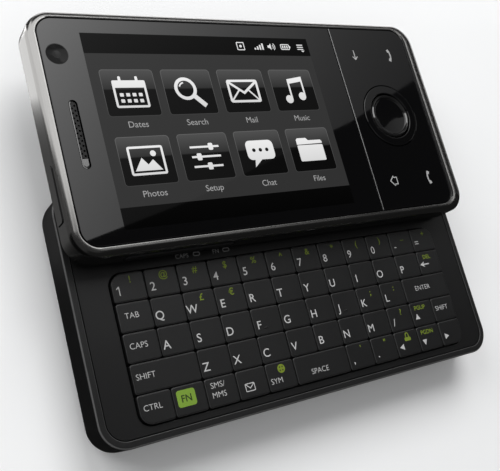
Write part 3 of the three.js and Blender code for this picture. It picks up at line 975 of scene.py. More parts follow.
@dataclass(frozen=True)
class CircuitFinish:
    """Solder mask with fine tracks and pads."""

    name: str
    mask: Colour
    copper: Colour
    pitch: float = 0.9

    def material(self) -> Material:
        """Builds the material.

        Returns:
            The material.
        """
        material, surface, place = start_material(self.name)
        tree = material.node_tree
        tracks = add_node(tree, "ShaderNodeTexBrick", {
            "Vector": place, "Scale": 1 / (self.pitch * MM), "Mortar Size": 0.06,
            "Color1": opaque(self.mask), "Color2": opaque(tuple(0.7 * part for part in self.mask)),
            "Mortar": opaque(self.copper),
        }).outputs
        bump = add_node(tree, "ShaderNodeBump", {"Distance": 0.03 * MM, "Height": tracks["Fac"]})
        feed(tree, surface, {
            "Roughness": 0.4, "Base Color": tracks["Color"], "Normal": bump.outputs["Normal"],
        })
        return material


class Palette:
    """Every finish of the phone, built once."""

    housing = Finish("soft black paint", (0.008, 0.008, 0.0082), 0.42, relief=0.005).material()
    cover = Finish("cover paint", (0.009, 0.009, 0.0092), 0.5, relief=0.008).material()
    deck = Finish("satin deck", (0.0052, 0.0052, 0.0054), 0.35, fineness=7000).material()
    cap = Finish("key cap", (0.008, 0.0081, 0.0083), 0.34, fineness=6500).material()
    carrier = Finish("key carrier", grey(0.012), 0.7).material()
    frame = Finish(
        "brushed frame", (0.34, 0.336, 0.328), 0.2, texture=Texture.BRUSHED, metallic=1.0,
        tone_spread=0.25, roughness_spread=0.14, relief=0.0004,
    ).material()
    steel = Finish(
        "plain steel", (0.45, 0.46, 0.47), 0.3, texture=Texture.BRUSHED, metallic=1.0, relief=0.002
    ).material()
    dark_metal = Finish("dark plate", (0.05, 0.05, 0.052), 0.38, metallic=0.8).material()
    mesh = Finish("dark mesh", grey(0.016), 0.5, metallic=0.4).material()
    trim = Finish("satin trim", grey(0.3), 0.25, metallic=1.0, relief=0.001).material()
    ear_trim = Finish("ear trim", grey(0.16), 0.28, metallic=1.0, relief=0.001).material()
    # Painted highlight: lighter grey on the rounded rim edges of the housing.
    edge_line = Finish("worn edge", grey(0.075), 0.35, tone_spread=0.5).material()
    # Painted highlight: lighter grey on the rounded upper edges of the key caps.
    cap_edge = Finish("cap edge", grey(0.034), 0.35, tone_spread=0.4).material()
    # Painted highlight: bright metallic grey on the panel's rounded edge along its seam with the
    # glass.
    painted_seam_highlight = Finish("bright seam edge", grey(0.2), 0.35, metallic=0.6).material()
    # Black plastic of the inner parts; also painted shade on the frame's inner faces, its back and
    # right land and the power button's sides.
    moulding = Finish("black moulding", grey(0.006), 0.55).material()
    rubber = Finish("matt silicone", (0.03, 0.03, 0.032), 0.8, fineness=3500).material()
    wrap = Finish("battery wrap", (0.09, 0.095, 0.1), 0.45, fineness=2500).material()
    stylus = Finish("satin stylus", (0.01, 0.01, 0.011), 0.3, fineness=4000).material()
    legend = Finish("light legend ink", grey(0.42), 0.7, specular=0.2, tone_spread=0.2).material()
    second = Finish(
        "green legend ink", (0.14, 0.19, 0.02), 0.7, specular=0.2, tone_spread=0.2
    ).material()
    faint = Finish("faint indicator ink", grey(0.14), 0.6).material()
    badge = Finish("green badge", (0.15, 0.26, 0.025), 0.5, tone_spread=0.4).material()
    badge_ink = Finish("dark badge ink", (0.02, 0.035, 0.006), 0.6).material()
    mark = Finish("panel mark ink", grey(0.33), 0.6, specular=0.2).material()
    glass = Polish("face glass", (0.002, 0.002, 0.0022), 0.02, 0.03).material()
    gloss = Polish("polished panel", (0.002, 0.002, 0.0022), 0.03, 0.04).material()
    button_rim = Polish("lacquered rim", grey(0.01), 0.06, 0.03, ior=2.4).material()
    lens = Polish("lens glass", (0.003, 0.003, 0.006), 0.015, 0.01, ior=1.7).material()
    quiet_lens = Polish("dark lens window", grey(0.012), 0.12, 0.05, specular=0.12).material()
    diffuser = Polish("frosted lens", (0.7, 0.68, 0.6), 0.25, 0.1).material()
    panel = Polish("lcd stack", (0.03, 0.03, 0.032), 0.15, 0.1).material()
    circuit = CircuitFinish("solder mask", (0.008, 0.06, 0.026), (0.05, 0.13, 0.06)).material()


def dress(
    obj: Object, material: Material, body: str, stands_for: Sequence[str] = (),
    level: bool = False,
) -> Object:
    """Gives a piece its finish, its shading and its body.

    Args:
        obj: The piece.
        material: Its finish; one that it has already besides the first stays.
        body: The body that it rides on.
        stands_for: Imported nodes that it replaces.
        level: True keeps its broad flats level where small edges meet them.

    Returns:
        The piece.
    """
    if len(obj.data.materials) < 2:
        obj.data.materials.clear()
        obj.data.materials.append(material)
    obj.data.shade_smooth()
    obj.data.set_sharp_from_angle(angle=math.radians(SHARP_DEGREES))
    if level:
        weigh = obj.modifiers.new("level", "WEIGHTED_NORMAL")
        weigh.mode = "FACE_AREA"
        weigh.weight = 50
        weigh.keep_sharp = True
        settle(obj)
    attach(obj, body)
    if stands_for:
        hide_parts(*stands_for)
    log.info("%s: %d faces on %s, finish %s", obj.name, len(obj.data.polygons), body, material.name)
    return obj


def dress_node(node: str, material: Material) -> None:
    """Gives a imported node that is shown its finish.

    Args:
        node: Name of the node.
        material: Its finish.
    """
    for slot in frame["nodes"][node].material_slots:
        slot.material = material
    log.info("%s: packed node kept, finish %s", node, material.name)


class Repeater:
    """Geometry Nodes tree that repeats one round pin or bar over a grid."""

    def __init__(self) -> None:
        """Builds the tree with its named inputs."""
        tree = bpy.data.node_groups.new("repeated_pins", "GeometryNodeTree")
        self.tree = tree
        kinds = {
            "Columns": "Int", "Rows": "Int", "Column Pitch": "Float", "Row Pitch": "Float",
            "Radius": "Float", "Depth": "Float", "Sides": "Int", "Stagger": "Float",
            "Centre": "Vector", "Material": "Material",
        }
        self.keys = {
            label: tree.interface.new_socket(
                label, in_out="INPUT", socket_type="NodeSocket" + kind
            ).identifier
            for label, kind in kinds.items()
        }
        tree.interface.new_socket("Geometry", in_out="OUTPUT", socket_type="NodeSocketGeometry")
        source = tree.nodes.new("NodeGroupInput").outputs
        sink = tree.nodes.new("NodeGroupOutput")
        shape = {"Vertices": source["Sides"], "Radius": source["Radius"], "Depth": source["Depth"]}
        pin = add_node(tree, "GeometryNodeMeshCylinder", shape).outputs["Mesh"]
        pins = self._on_points(self._grid(source), pin)
        paint = {"Geometry": pins, "Material": source["Material"]}
        painted = add_node(tree, "GeometryNodeSetMaterial", paint)
        feed(tree, sink, {"Geometry": painted.outputs["Geometry"]})

    def _on_points(self, points: Socket, instance: Socket) -> Socket:
        """Plain mesh of a shape repeated on points.

        Args:
            points: The points.
            instance: The shape.

        Returns:
            The output that holds the mesh.
        """
        sources = {"Points": points, "Instance": instance}
        spread = add_node(self.tree, "GeometryNodeInstanceOnPoints", sources).outputs["Instances"]
        return add_node(self.tree, "GeometryNodeRealizeInstances", {0: spread}).outputs[0]

    def _line(self, count: Socket, axis: str, pitch: Socket) -> Socket:
        """Row of points along an axis.

        Args:
            count: How many points.
            axis: Name of the axis.
            pitch: Distance between two.

        Returns:
            The output that holds the points.
        """
        step = add_node(self.tree, "ShaderNodeCombineXYZ", {axis: pitch}).outputs[0]
        sources = {"Count": count, "Offset": step}
        return add_node(self.tree, "GeometryNodeMeshLine", sources, mode="OFFSET").outputs["Mesh"]

    def _grid(self, source: Sequence[Socket]) -> Socket:
        """Wires the points of the grid, with odd columns shifted by the stagger.

        Args:
            source: Outputs of the group's input node.

        Returns:
            The output that holds the points.
        """
        tree = self.tree
        index = add_node(tree, "GeometryNodeInputIndex").outputs[0]
        shift = add_math(tree, "MULTIPLY", add_math(tree, "MODULO", index, 2), source["Stagger"])
        shift_vector = add_node(tree, "ShaderNodeCombineXYZ", {"Y": shift}).outputs[0]
        line = self._line(source["Columns"], "X", source["Column Pitch"])
        sources = {"Geometry": line, "Offset": shift_vector}
        staggered = add_node(tree, "GeometryNodeSetPosition", sources).outputs["Geometry"]
        row = self._line(source["Rows"], "Y", source["Row Pitch"])
        sources = {"Geometry": self._on_points(staggered, row), "Translation": source["Centre"]}
        return add_node(tree, "GeometryNodeTransform", sources).outputs["Geometry"]

    def make(
        self, name: str, count: tuple[int, int], pitch: Point, radius: float, depth: float,
        first: Place, sides: int = 16, stagger: float = 0.0,
    ) -> Object:
        """Repeats the pin and returns plain mesh.

        Args:
            name: Name of the object.
            count: Columns and rows.
            pitch: Distance between columns and between rows.
            radius: Radius of a pin.
            depth: Length of a pin, along Z.
            first: Middle of the first pin.
            sides: Sides of a pin.
            stagger: Shift of the odd columns.

        Returns:
            The object.
        """
        obj = new_object(name, bpy.data.meshes.new(name))
        modifier = obj.modifiers.new("repeat", "NODES")
        modifier.node_group = self.tree
        values = {
            "Columns": count[0], "Rows": count[1], "Column Pitch": pitch[0] * MM,
            "Row Pitch": pitch[1] * MM, "Radius": radius * MM, "Depth": depth * MM,
            "Sides": sides, "Stagger": stagger * MM, "Centre": tuple(part * MM for part in first),
            "Material": Palette.moulding,
        }
        for label, value in values.items():
            modifier[self.keys[label]] = value
        settle(obj)
        return obj


REPEATER = Repeater()


@dataclass
class BaseHalf:
    """Lower half: the housing, the keyboard plate, the battery cover and the stylus."""

    corner: float = 5.5
    edge: float = 3.8
    wall: float = 1.5
    rim: float = 0.45
    rim_inner: float = 0.12
    ledge: float = 1.2
    ledge_thickness: float = 0.8
    seat: float = 0.3
    seam: float = 0.15
    floor_thickness: float = 1.0
    cover_corner: float = 4.0
    key_field_corner: float = 2.6
    field_gap: float = 0.33
    runner_slot: float = 10.6
    speaker_holes: int = 5
    speaker_hole: float = 0.6
    speaker_pitch: float = 1.8
    ridges: int = 7
    ridge_start: float = 3.2
    ridge_pitch: float = 1.1
    ridge_width: float = 0.45
    ridge_half: float = 7.5
    ridge_step: float = 0.9
    light_y: float = 8.93

    def __post_init__(self) -> None:
        """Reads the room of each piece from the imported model."""
        self.housing = space("base_housing")
        self.plan = self.housing.plan
        self.bezel = space("keyboard_bezel")
        self.cover = space("battery_cover")
        self.battery = space("battery")
        self.window = space("rear_camera_window")
        self.flash = space("flash_lens")
        self.floor_top = self.battery.z0 + self.floor_thickness

    def build(self) -> None:
        """Builds every piece of the lower half."""
        self.build_housing()
        self.build_bezel()
        self.build_cover()
        self.build_stylus()
        self.build_rear_camera()
        self.build_indicators()

    def shell_levels(self) -> list[Level]:
        """Outlines of the housing, from its flat back over the rim and down into its cavity.

        Returns:
            The levels.
        """
        top, wall, ledge = self.housing.z1, self.wall, self.wall + self.ledge
        ledge_top = self.bezel.z0 - self.seat
        ledge_bottom = ledge_top - self.ledge_thickness
        outlines = [(back, height) for height, back in quarter(self.edge, 2 * EDGE_STEPS)]
        outlines += [(back, top - drop) for back, drop in quarter(self.rim)]
        outlines += [(wall - back, top - drop) for drop, back in quarter(self.rim_inner)]
        outlines += [(wall, ledge_top), (ledge, ledge_top), (ledge, ledge_bottom)]
        outlines += [(wall, ledge_bottom), (wall, self.floor_top)]
        return [Level.inset(self.plan, self.corner, back, height) for back, height in outlines]

    def build_housing(self) -> None:
        """Housing with its seats, bay, holes and socket mouth."""
        shell = loft("housing", self.shell_levels())
        seam, seat, end = self.seam, self.seat, self.plan.x1 + OVERRUN
        above = self.floor_top + OVERRUN
        speaker, socket = space("loudspeaker").plan.centre, space("usb_socket")
        lens, flash = space("rear_camera_module").plan.length / 3, self.flash.plan.length / 2 + seam
        first_hole = speaker[0] - self.speaker_pitch * (self.speaker_holes - 1) / 2
        cutters = [
            plate(
                "cover_seat", self.cover.plan.inset(-seam), self.cover_corner + seam, -OVERRUN,
                self.battery.z0,
            ),
            plate("bay", self.battery.plan.inset(-seat), seat + self.wall / 2, 0, above),
            plate(
                "window_seat", self.window.plan.inset(-seam), self.cover_corner - self.rim,
                -OVERRUN, self.window.z1 + seat,
            ),
            drum("lens_hole", self.window.plan.centre, lens, -OVERRUN, above),
            drum("flash_hole", self.flash.plan.centre, flash, -OVERRUN, above),
            plate(
                "socket_mouth", socket.end_view.inset(-seat), self.wall / 2, socket.plan.x0 - seat,
                end, facing=Facing.ALONG_X,
            ),
            drum(
                "stylus_mouth", space("stylus_silo").end_view.centre,
                space("stylus").plan.width / 2 + seat, self.plan.x1 - self.corner, end, 48,
                Facing.ALONG_X,
            ),
            REPEATER.make(
                "sound_holes", (self.speaker_holes, 1), (self.speaker_pitch, self.speaker_pitch),
                self.speaker_hole, 2 * above, (first_hole, speaker[1], 0), sides=24,
            ),
        ]
        carve(shell, cutters)
        brim = self.housing.z1 - self.rim

        def on_painted_edge_highlight(middle: Vector, normal: Vector) -> bool:
            """Whether a face is part of the rim's rounded edges, which get a painted highlight."""
            return middle.z > brim and 0.6 < normal.z < 0.93

        finish_faces(shell, Palette.housing, Palette.edge_line, on_painted_edge_highlight)
        dress(shell, Palette.housing, "base", ["base_housing"], level=True)

    def build_bezel(self) -> None:
        """Keyboard plate with the window for the keys and the slots of the runners."""
        outer, low, top = self.bezel.plan, self.bezel.z0, self.bezel.z1
        corner = self.corner - self.wall - self.seam
        window = key_field().inset(-self.field_gap)
        hole = self.key_field_corner + self.seam
        edge = self.seam
        levels = [
            Level.inset(outer, corner, 0, low),
            Level.inset(outer, corner, 0, top - edge),
            Level.inset(outer, corner, edge / 2, top),
            Level.inset(outer, corner, edge + HOLD, top),
            Level.inset(window, hole, -edge - HOLD, top),
            *(Level.inset(window, hole, -out, top - drop) for drop, out in quarter(edge)),
            Level.inset(window, hole, 0, low),
        ]
        sheet = loft("keyboard_plate", levels, closed=True)
        slots = []
        for side in ("left", "right"):
            runner = space("slide_runner_" + side)
            neck, middle, front = runner.plan.length / 4, runner.plan.centre[0], runner.plan.y0
            slot = Plan(middle - neck, middle + neck, front, front + self.runner_slot)
            cutter = slot.inset(0, -self.seam)
            slots.append(plate("slot_" + side, cutter, self.seam, low - OVERRUN, runner.z1))
        carve(sheet, slots)
        dress(sheet, Palette.deck, "base", ["keyboard_bezel"], level=True)

    def build_cover(self) -> None:
        """Battery cover with a row of grip ridges near its end."""
        plan = self.cover.plan
        cover = plate(
            "cover", plan, self.cover_corner, self.cover.z0, self.cover.z1, foot=0.12, steps=20
        )
        ridges = []
        for i in range(self.ridges):
            x = plan.x0 + self.ridge_start + i * self.ridge_pitch
            reach = self.ridge_half - abs(i - self.ridges // 2) * self.ridge_step
            groove = Plan(x, x + self.ridge_width, -reach, reach)
            ridges.append(plate(f"groove_{i}", groove, 0.2, -OVERRUN, 0.16, foot=0.02, top=0.08))
        carve(cover, ridges)
        dress(cover, Palette.cover, "battery_cover", ["battery_cover"], level=True)

    def build_stylus(self) -> None:
        """Stylus: a rod with a soft tip and a grooved cap that ends flush with the housing."""
        room = space("stylus")
        radius = room.plan.width / 2
        tip, end = room.plan.x0, room.plan.x1
        neck, waist = end - 4.0, radius - 0.3
        profile = [
            (0, tip), (0.3, tip + 0.06), (0.5, tip + 0.3), (0.62, tip + 1.2),
            (radius - 0.15, tip + 6.0), (radius, tip + 6.6), (radius, neck - 0.3),
            (waist, neck - 0.05), (waist, neck + 0.05), (radius, neck + 0.3), (radius, end - 0.25),
            (radius - 0.08, end - 0.08), (radius - 0.25, end), (0, end),
        ]
        rod = turned("stylus_rod", room.end_view.centre, profile, facing=Facing.ALONG_X, sides=48)
        outside = loft("trimmer", self.shell_levels()[: 3 * EDGE_STEPS + 2])
        carve(rod, [outside], "INTERSECT")
        dress(rod, Palette.stylus, "stylus", ["stylus"])

    def build_rear_camera(self) -> None:
        """Camera window with its lens, and the flash lens."""
        room = self.window
        centre = room.plan.centre
        window = plate("camera_window", room.plan, 3.0, room.z0, room.z1, foot=0.1, steps=20)
        carve(window, [drum("lens_well", centre, 3.1, -OVERRUN, 0.35, TURN_SIDES)])
        dress(window, Palette.gloss, "base", ["rear_camera_window"], level=True)
        inner = [(2.3, 0.3), (2.3, 0.08), (2.45, 0.02)]
        outer = [(2.85, 0.02), (3.0, 0.08), (3.0, 0.3)]
        ring = turned("lens_ring", centre, inner + outer, closed=True)
        dress(ring, Palette.trim, "base")
        lens_profile = [(0, 0.1), (0.9, 0.13), (1.6, 0.2), (2.2, 0.32), (2.2, 0.36), (0, 0.36)]
        dress(turned("camera_lens", centre, lens_profile), Palette.lens, "base")
        radius, top = self.flash.plan.length / 2, self.flash.z1
        steps = [(0, 0), (0.35, 0.06), (0.5, 0.0), (0.85, 0.06), (1.0, 0.0), (1.35, 0.06)]
        profile = [*steps, (radius - 0.1, 0.0), (radius, 0.1), (radius, top), (0, top)]
        flash = turned("flash", self.flash.plan.centre, profile, sides=64)
        dress(flash, Palette.diffuser, "base", ["flash_lens"])

    def build_indicators(self) -> None:
        """Faint lock marks printed on the keyboard plate behind the keys."""
        z, y, depth = self.bezel.z1, self.light_y, 0.01
        parts = [
            lettering("lock_word", "CAPS", 0.95, (-26.2, y), z, depth),
            lettering("function_word", "FN", 0.95, (-18.2, y), z, depth),
        ]
        for i, x in enumerate((-22.8, -15.7)):
            light = outline(Plan(x - 0.75, x + 0.75, y - 0.35, y + 0.35), 0.34, 6)
            parts.append(flat_print(f"lock_light_{i}", ribbon(light, 0.16, closed=True), z, depth))
        dress(merge("lock_marks", parts), Palette.faint, "base")


class Spot(Enum):
    """Green sign at the back right of a cap."""

    GLOBE = "globe"
    LOCK = "lock"


class Look(Enum):
    """How a key's legend is set."""

    CHARACTER = "character"
    WORD = "word"
    TWO_WORDS = "two words"
    LOW_WORD = "low word"
    MIDDLE_WORD = "middle word"
    BADGE = "badge"
    ENVELOPE = "envelope"
    ARROW_BACK = "arrow back"
    POINT_UP = "point up"
    POINT_DOWN = "point down"
    POINT_LEFT = "point left"
    POINT_RIGHT = "point right"


@dataclass(frozen=True)
class Key:
    """One cap: its name, legend, second legend, width in columns and setting."""

    name: str
    legend: str = ""
    second: str = ""
    width: int = 1
    look: Look = Look.CHARACTER
    spot: Spot | None = None
    nub: bool = False


# A body and the keys that ride on it.
KeyGroup = tuple[str, list[Key]]
NUBBED = "FJ"


def characters(text: str, names: str = "") -> list[Key]:
    """Keys of one column whose legend is a character.

    Args:
        text: Legend of each key, followed by its second legend if it has one.
        names: Their names, if those aren't the letters.

    Returns:
        The keys.
    """
    signs = text.split()
    labels = names.split() or [sign[0].lower() for sign in signs]
    return [
        Key(label, sign[0], sign[1:], nub=sign[0] in NUBBED) for label, sign in zip(labels, signs)
    ]


def alone(name: str, legend: str = "", look: Look = Look.WORD, **more: object) -> KeyGroup:
    """Key on a body of its own."""
    return "key_" + name, [Key(name, legend, look=look, **more)]


KEY_ROWS: list[list[KeyGroup]] = [
    [
        ("keys_1_to_6", characters("1! 2@ 3# 4$ 5% 6^", "one two three four five six")),
        ("keys_7_to_equals", characters("7& 8* 9( 0) -_ =+", "seven eight nine zero minus equals")),
    ],
    [
        alone("tab", "TAB"),
        ("keys_q_to_t", characters("Q W£ E€ R T")),
        ("keys_y_to_p", characters("Y U I O P")),
        alone("backspace", second="DEL", look=Look.ARROW_BACK),
    ],
    [
        alone("caps", "CAPS"),
        ("keys_a_to_g", characters("A S D F G")),
        ("keys_h_to_l", characters("H J K; L:")),
        alone("enter", "ENTER", Look.MIDDLE_WORD, width=2),
    ],
    [
        alone("shift_left", "SHIFT", width=2),
        ("keys_z_to_b", characters("Z X C V B")),
        ("keys_n_to_slash", characters("N M /?", "n m slash")),
        alone("up", second="PGUP", look=Look.POINT_UP),
        alone("shift_right", "SHIFT"),
    ],
    [
        alone("ctrl", "CTRL"),
        alone("fn", "FN", Look.BADGE),
        alone("message", "SMS/MMS", Look.TWO_WORDS),
        alone("mail", look=Look.ENVELOPE),
        alone("symbol", "SYM", Look.LOW_WORD, spot=Spot.GLOBE),
        alone("space", "SPACE", Look.LOW_WORD, width=2),
        ("keys_comma_and_stop", characters(",' .\"", "comma stop")),
        alone("left", look=Look.POINT_LEFT, spot=Spot.LOCK),
        alone("down", second="PGDN", look=Look.POINT_DOWN),
        alone("right", look=Look.POINT_RIGHT),
    ],
]

# From the middle of the cap, or of its first column for a WORD.
LEGEND_PLACES: dict[Look, Point] = {
    Look.CHARACTER: (-2.2, -0.62),
    Look.WORD: (-0.72, 0.36),
    Look.MIDDLE_WORD: (-1.2, 0.2),
    Look.LOW_WORD: (-1.45, -0.8),
    Look.TWO_WORDS: (-0.76, 1.42),
    Look.BADGE: (-0.75, 0.4),
    Look.ENVELOPE: (-0.83, -0.7),
    Look.ARROW_BACK: (-1.75, -0.35),
    Look.POINT_UP: (-1.9, -0.7),
    Look.POINT_DOWN: (-1.9, -0.7),
    Look.POINT_LEFT: (-1.9, -0.7),
    Look.POINT_RIGHT: (-1.9, -0.7),
}
POINTER_ANGLES = {
    Look.POINT_UP: 90, Look.POINT_LEFT: 180, Look.POINT_DOWN: 270, Look.POINT_RIGHT: 0
}


@dataclass
class Keyboard:
    """Five rows of caps, with printed legends."""

    columns: int = 12
    rows: int = 5
    grid_gap: float = 0.36
    gap: float = 0.14
    corner: float = 0.55
    edge: float = 0.3
    field_corner: float = 2.5
    carrier_inset: float = 0.5
    carrier_thickness: float = 0.3
    print_depth: float = 0.012
    boldness: float = 0.004
    word_boldness: float = -0.01
    second_boldness: float = 0.01
    capital: float = 1.8
    word_capital: float = 1.2
    second_capital: float = 1.45
    small_capital: float = 1.05
    second_place: Point = (0.45, 1.5)
    small_place: Point = (-0.5, 1.5)
    lower_word_place: Point = (-0.8, -0.5)
    wide_word_x: float = -0.95
    spot_place: Point = (0.25, 1.4)

    def __post_init__(self) -> None:
        """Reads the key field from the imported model."""
        self.field = key_field().inset(-self.grid_gap / 2)
        self.pitch = (self.field.length / self.columns, self.field.width / self.rows)
        first = space("keys_1_to_6")
        self.foot, self.top = first.z0, first.z1

    def build(self) -> None:
        """Builds every cap, carrier and legend."""
        for row, groups in enumerate(KEY_ROWS):
            column = 0
            for body, keys in groups:
                self.build_carrier(body, row, column, sum(key.width for key in keys))
                for key in keys:
                    self.build_key(body, key, row, column)
                    column += key.width

    def cell(self, row: int, column: int, width: int) -> Plan:
        """Room of a key on the grid.

        Args:
            row: Row, from the back.
            column: First column.
            width: Columns that it takes.

        Returns:
            The rectangle of its cap.
        """
        back = self.field.y1 - row * self.pitch[1]
        left = self.field.x0 + column * self.pitch[0]
        whole = Plan(left, left + width * self.pitch[0], back - self.pitch[1], back)
        return whole.inset(self.gap / 2)

    def build_carrier(self, body: str, row: int, column: int, width: int) -> None:
        """Thin carrier under the caps of one body.

        Args:
            body: The body that it rides on.
            row: Row, from the back.
            column: Its first column.
            width: Columns that it takes.
        """
        plan = self.cell(row, column, width).inset(self.carrier_inset - self.gap / 2)
        top = self.foot + self.carrier_thickness
        carrier = plate(body + "_carrier", plan, self.corner, self.foot, top, steps=4)
        dress(carrier, Palette.carrier, body, [body])

    @staticmethod
    def _slot(body: str) -> str:
        """Material slot of a key's body."""
        return "key_green" if body == "key_fn" else "key_black"

    def corners(self, row: int, column: int, width: int) -> Corners:
        """Radii of a cap, which are larger at the corners of the key field.

        Args:
            row: Row, from the back.
            column: Its first column.
            width: Columns that it takes.

        Returns:
            The radii.
        """
        back, front = row == 0, row == self.rows - 1
        left, right = column == 0, column + width == self.columns
        outer = (back and right, back and left, front and left, front and right)
        return Corners(*(self.field_corner if at_corner else self.corner for at_corner in outer))

    def build_key(self, body: str, key: Key, row: int, column: int) -> None:
        """Cap and legends of one key.

        Args:
            body: The body that it rides on.
            key: The key.
            row: Row, from the back.
            column: Its first column.
        """
        plan = self.cell(row, column, key.width)
        corners = self.corners(row, column, key.width)
        cap = plate("cap_" + key.name, plan, corners, self.foot, self.top, top=self.edge, steps=6)
        if key.nub:
            cap = self.with_nub(cap, plan)
        brim = self.top - self.edge

        def on_painted_edge_highlight(middle: Vector, normal: Vector) -> bool:
            """Whether a face is part of the cap's rounded upper edge, which gets a painted
            highlight.
            """
            return middle.z > brim and 0.45 < normal.z < 0.9

        finish_faces(cap, Palette.cap, Palette.cap_edge, on_painted_edge_highlight)
        dress(cap, Palette.cap, body, level=True)
        self.build_legends(body, key, plan)

    def with_nub(self, cap: Object, plan: Plan) -> Object:
        """Cap with the small raised bar that a finger finds.

        Args:
            cap: The cap, which is used up.
            plan: Its rectangle.

        Returns:
            The new cap.
        """
        x, y = plan.centre
        bar = Plan(x - 1.15, x - 0.15, y - 1.6, y - 1.3)
        nub = plate("nub", bar, 0.14, self.top - 0.05, self.top + 0.14, top=0.1, steps=4)
        return merge(cap.name, [cap, nub])

    def build_legends(self, body: str, key: Key, plan: Plan) -> None:
        """Printed legends of one key.

        Args:
            body: The body that the key rides on.
            key: The key.
            plan: The rectangle of its cap.
        """
        x, y = plan.centre
        first_x = plan.x0 + (self.pitch[0] - self.gap) / 2 if key.look is Look.WORD else x
        right, up = LEGEND_PLACES[key.look]
        if key.look is Look.LOW_WORD and key.width > 1:
            right = self.wide_word_x
        place = (first_x + right, y + up)
        name = "legend_" + key.name
        light, green = [], []
        if key.look is Look.CHARACTER:
            light.append(self._word(name, key.legend, self.capital, place))
        elif key.look is Look.TWO_WORDS:
            upper, lower = key.legend.split("/")
            below = (x + self.lower_word_place[0], y + self.lower_word_place[1])
            light.append(self._word(name, upper + "/", self.word_capital, place))
            light.append(self._word(name + "_lower", lower, self.word_capital, below))
        elif key.look is Look.BADGE:
            self._badge(body, key, place)
        elif key.look is Look.ENVELOPE:
            light.append(self._envelope(name, place))
        elif key.look is Look.ARROW_BACK:
            light.append(self._arrow(name, place))
        elif key.look in POINTER_ANGLES:
            light.append(self._pointer(name, POINTER_ANGLES[key.look], place))
        else:
            light.append(self._word(name, key.legend, self.word_capital, place))
        if key.second:
            small = len(key.second) > 1
            right, up = self.small_place if small else self.second_place
            capital = self.small_capital if small else self.second_capital
            green.append(lettering(
                name + "_second", key.second, capital, (x + right, y + up), self.top,
                self.print_depth, self.second_boldness,
            ))
        if key.spot:
            sign = self._globe if key.spot is Spot.GLOBE else self._lock
            green.append(sign(name + "_spot", (x + self.spot_place[0], y + self.spot_place[1])))
        for suffix, parts, ink in (("", light, Palette.legend), ("_green", green, Palette.second)):
            if parts:
                dress(merge(name + suffix, parts), ink, body)

    def _print(self, name: str, loops: Sequence[Loop], share: float = 1.0) -> Object:
        """Shape printed on a cap, as thick as a share of the ink."""
        return flat_print(name, loops, self.top, share * self.print_depth)

    def _word(self, name: str, text: str, capital: float, centre: Point) -> Object:
        """Characters printed on a cap.

        Args:
            name: Name of the object.
            text: The characters.
            capital: Height of a capital letter.
            centre: Its middle.

        Returns:
            The object.
        """
        if text == "1":
            return self._digit_one(name, capital, centre)
        boldness = self.word_boldness if len(text) > 1 else self.boldness
        return lettering(name, text, capital, centre, self.top, self.print_depth, boldness)

    def _digit_one(self, name: str, capital: float, centre: Point) -> Object:
        """The digit one with its flag, which the plain letter face draws as a bare bar.

        Args:
            name: Name of the object.
            capital: Its height.
            centre: Its middle.

        Returns:
            The object.
        """
        x, y = centre
        right, stroke = x + 0.1 * capital, 0.11 * capital
        low, high = y - capital / 2, y + capital / 2
        tip, chin = right - 0.36 * capital, high - 0.2 * capital
        points = [
            (right, low), (right, high), (right - 0.1 * capital, high), (tip, chin),
            (tip, high - 0.32 * capital), (right - stroke, chin), (right - stroke, low),
        ]
        return self._print(name, [points])

    def _badge(self, body: str, key: Key, centre: Point) -> None:
        """Green badge with dark letters.

        Args:
            body: The body that it rides on.
            key: The key.
            centre: Its middle.
        """
        x, y = centre
        plan = Plan(x - 2.0, x + 2.0, y - 1.62, y + 1.62)
        badge = self._print(key.name + "_badge", [outline(plan, 0.55, 6)])
        dress(badge, Palette.badge, body)
        height, depth = self.top + self.print_depth, self.print_depth
        letters = lettering("legend_" + key.name, key.legend, 1.4, centre, height, depth, 0.015)
        dress(letters, Palette.badge_ink, body)

    def _envelope(self, name: str, centre: Point) -> Object:
        """Outline of an envelope.

        Args:
            name: Name of the object.
            centre: Its middle.

        Returns:
            The object.
        """
        x, y = centre
        box = Plan(x - 1.05, x + 1.05, y - 0.75, y + 0.75)
        sheet = ribbon(outline(box, 0.12, 3), 0.17, closed=True)
        fold = box.inset(0.15)
        flap = ribbon([(fold.x0, fold.y1), (x, y - 0.2), (fold.x1, fold.y1)], 0.17)
        return self._layered(name, sheet, flap)

    def _layered(self, name: str, lower: Sequence[Loop], upper: Sequence[Loop]) -> Object:
        """Two shapes printed on a cap, the second a little thicker."""
        return merge(name, [self._print(name + "_a", lower), self._print(name + "_b", upper, 1.2)])

    def _arrow(self, name: str, centre: Point) -> Object:
        """Arrow to the left.

        Args:
            name: Name of the object.
            centre: Its middle.

        Returns:
            The object.
        """
        x, y = centre
        half, head, stem = 1.45, 0.7, 0.14
        tip = x - half
        upper = [(x + half, y + stem), (tip + 1.6 * head, y + stem), (tip + 2 * head, y + head)]
        lower = [(tip + 2 * head, y - head), (tip + 1.6 * head, y - stem), (x + half, y - stem)]
        return self._print(name, [[(tip, y), *lower, *upper]])

    def _pointer(self, name: str, angle: float, centre: Point) -> Object:
        """Solid triangle of a cursor key."""
        corners = [arc(centre, 0.85, angle + turn, 0, 1)[0] for turn in (0, 125, 235)]
        return self._print(name, [corners])

    def _lock(self, name: str, centre: Point) -> Object:
        """Padlock: a wide body under a narrow bow.

        Args:
            name: Name of the object.
            centre: Its middle.

        Returns:
            The object.
        """
        x, y = centre
        body = outline(Plan(x - 0.95, x + 0.95, y - 0.95, y - 0.1), 0.25, 4)
        bend = arc((x, y + 0.5), 0.42, 180, 0, 10)
        bow = ribbon([(x - 0.42, y - 0.12), *bend, (x + 0.42, y - 0.12)], 0.24)
        return self._layered(name, [body], bow)

    def _globe(self, name: str, centre: Point) -> Object:
        """Green disc with four openings."""
        holes = [disc(arc(centre, 0.48, angle, 0, 1)[0], 0.17, 8) for angle in range(45, 405, 90)]
        return self._print(name, [disc(centre, 0.92, 32), *holes])


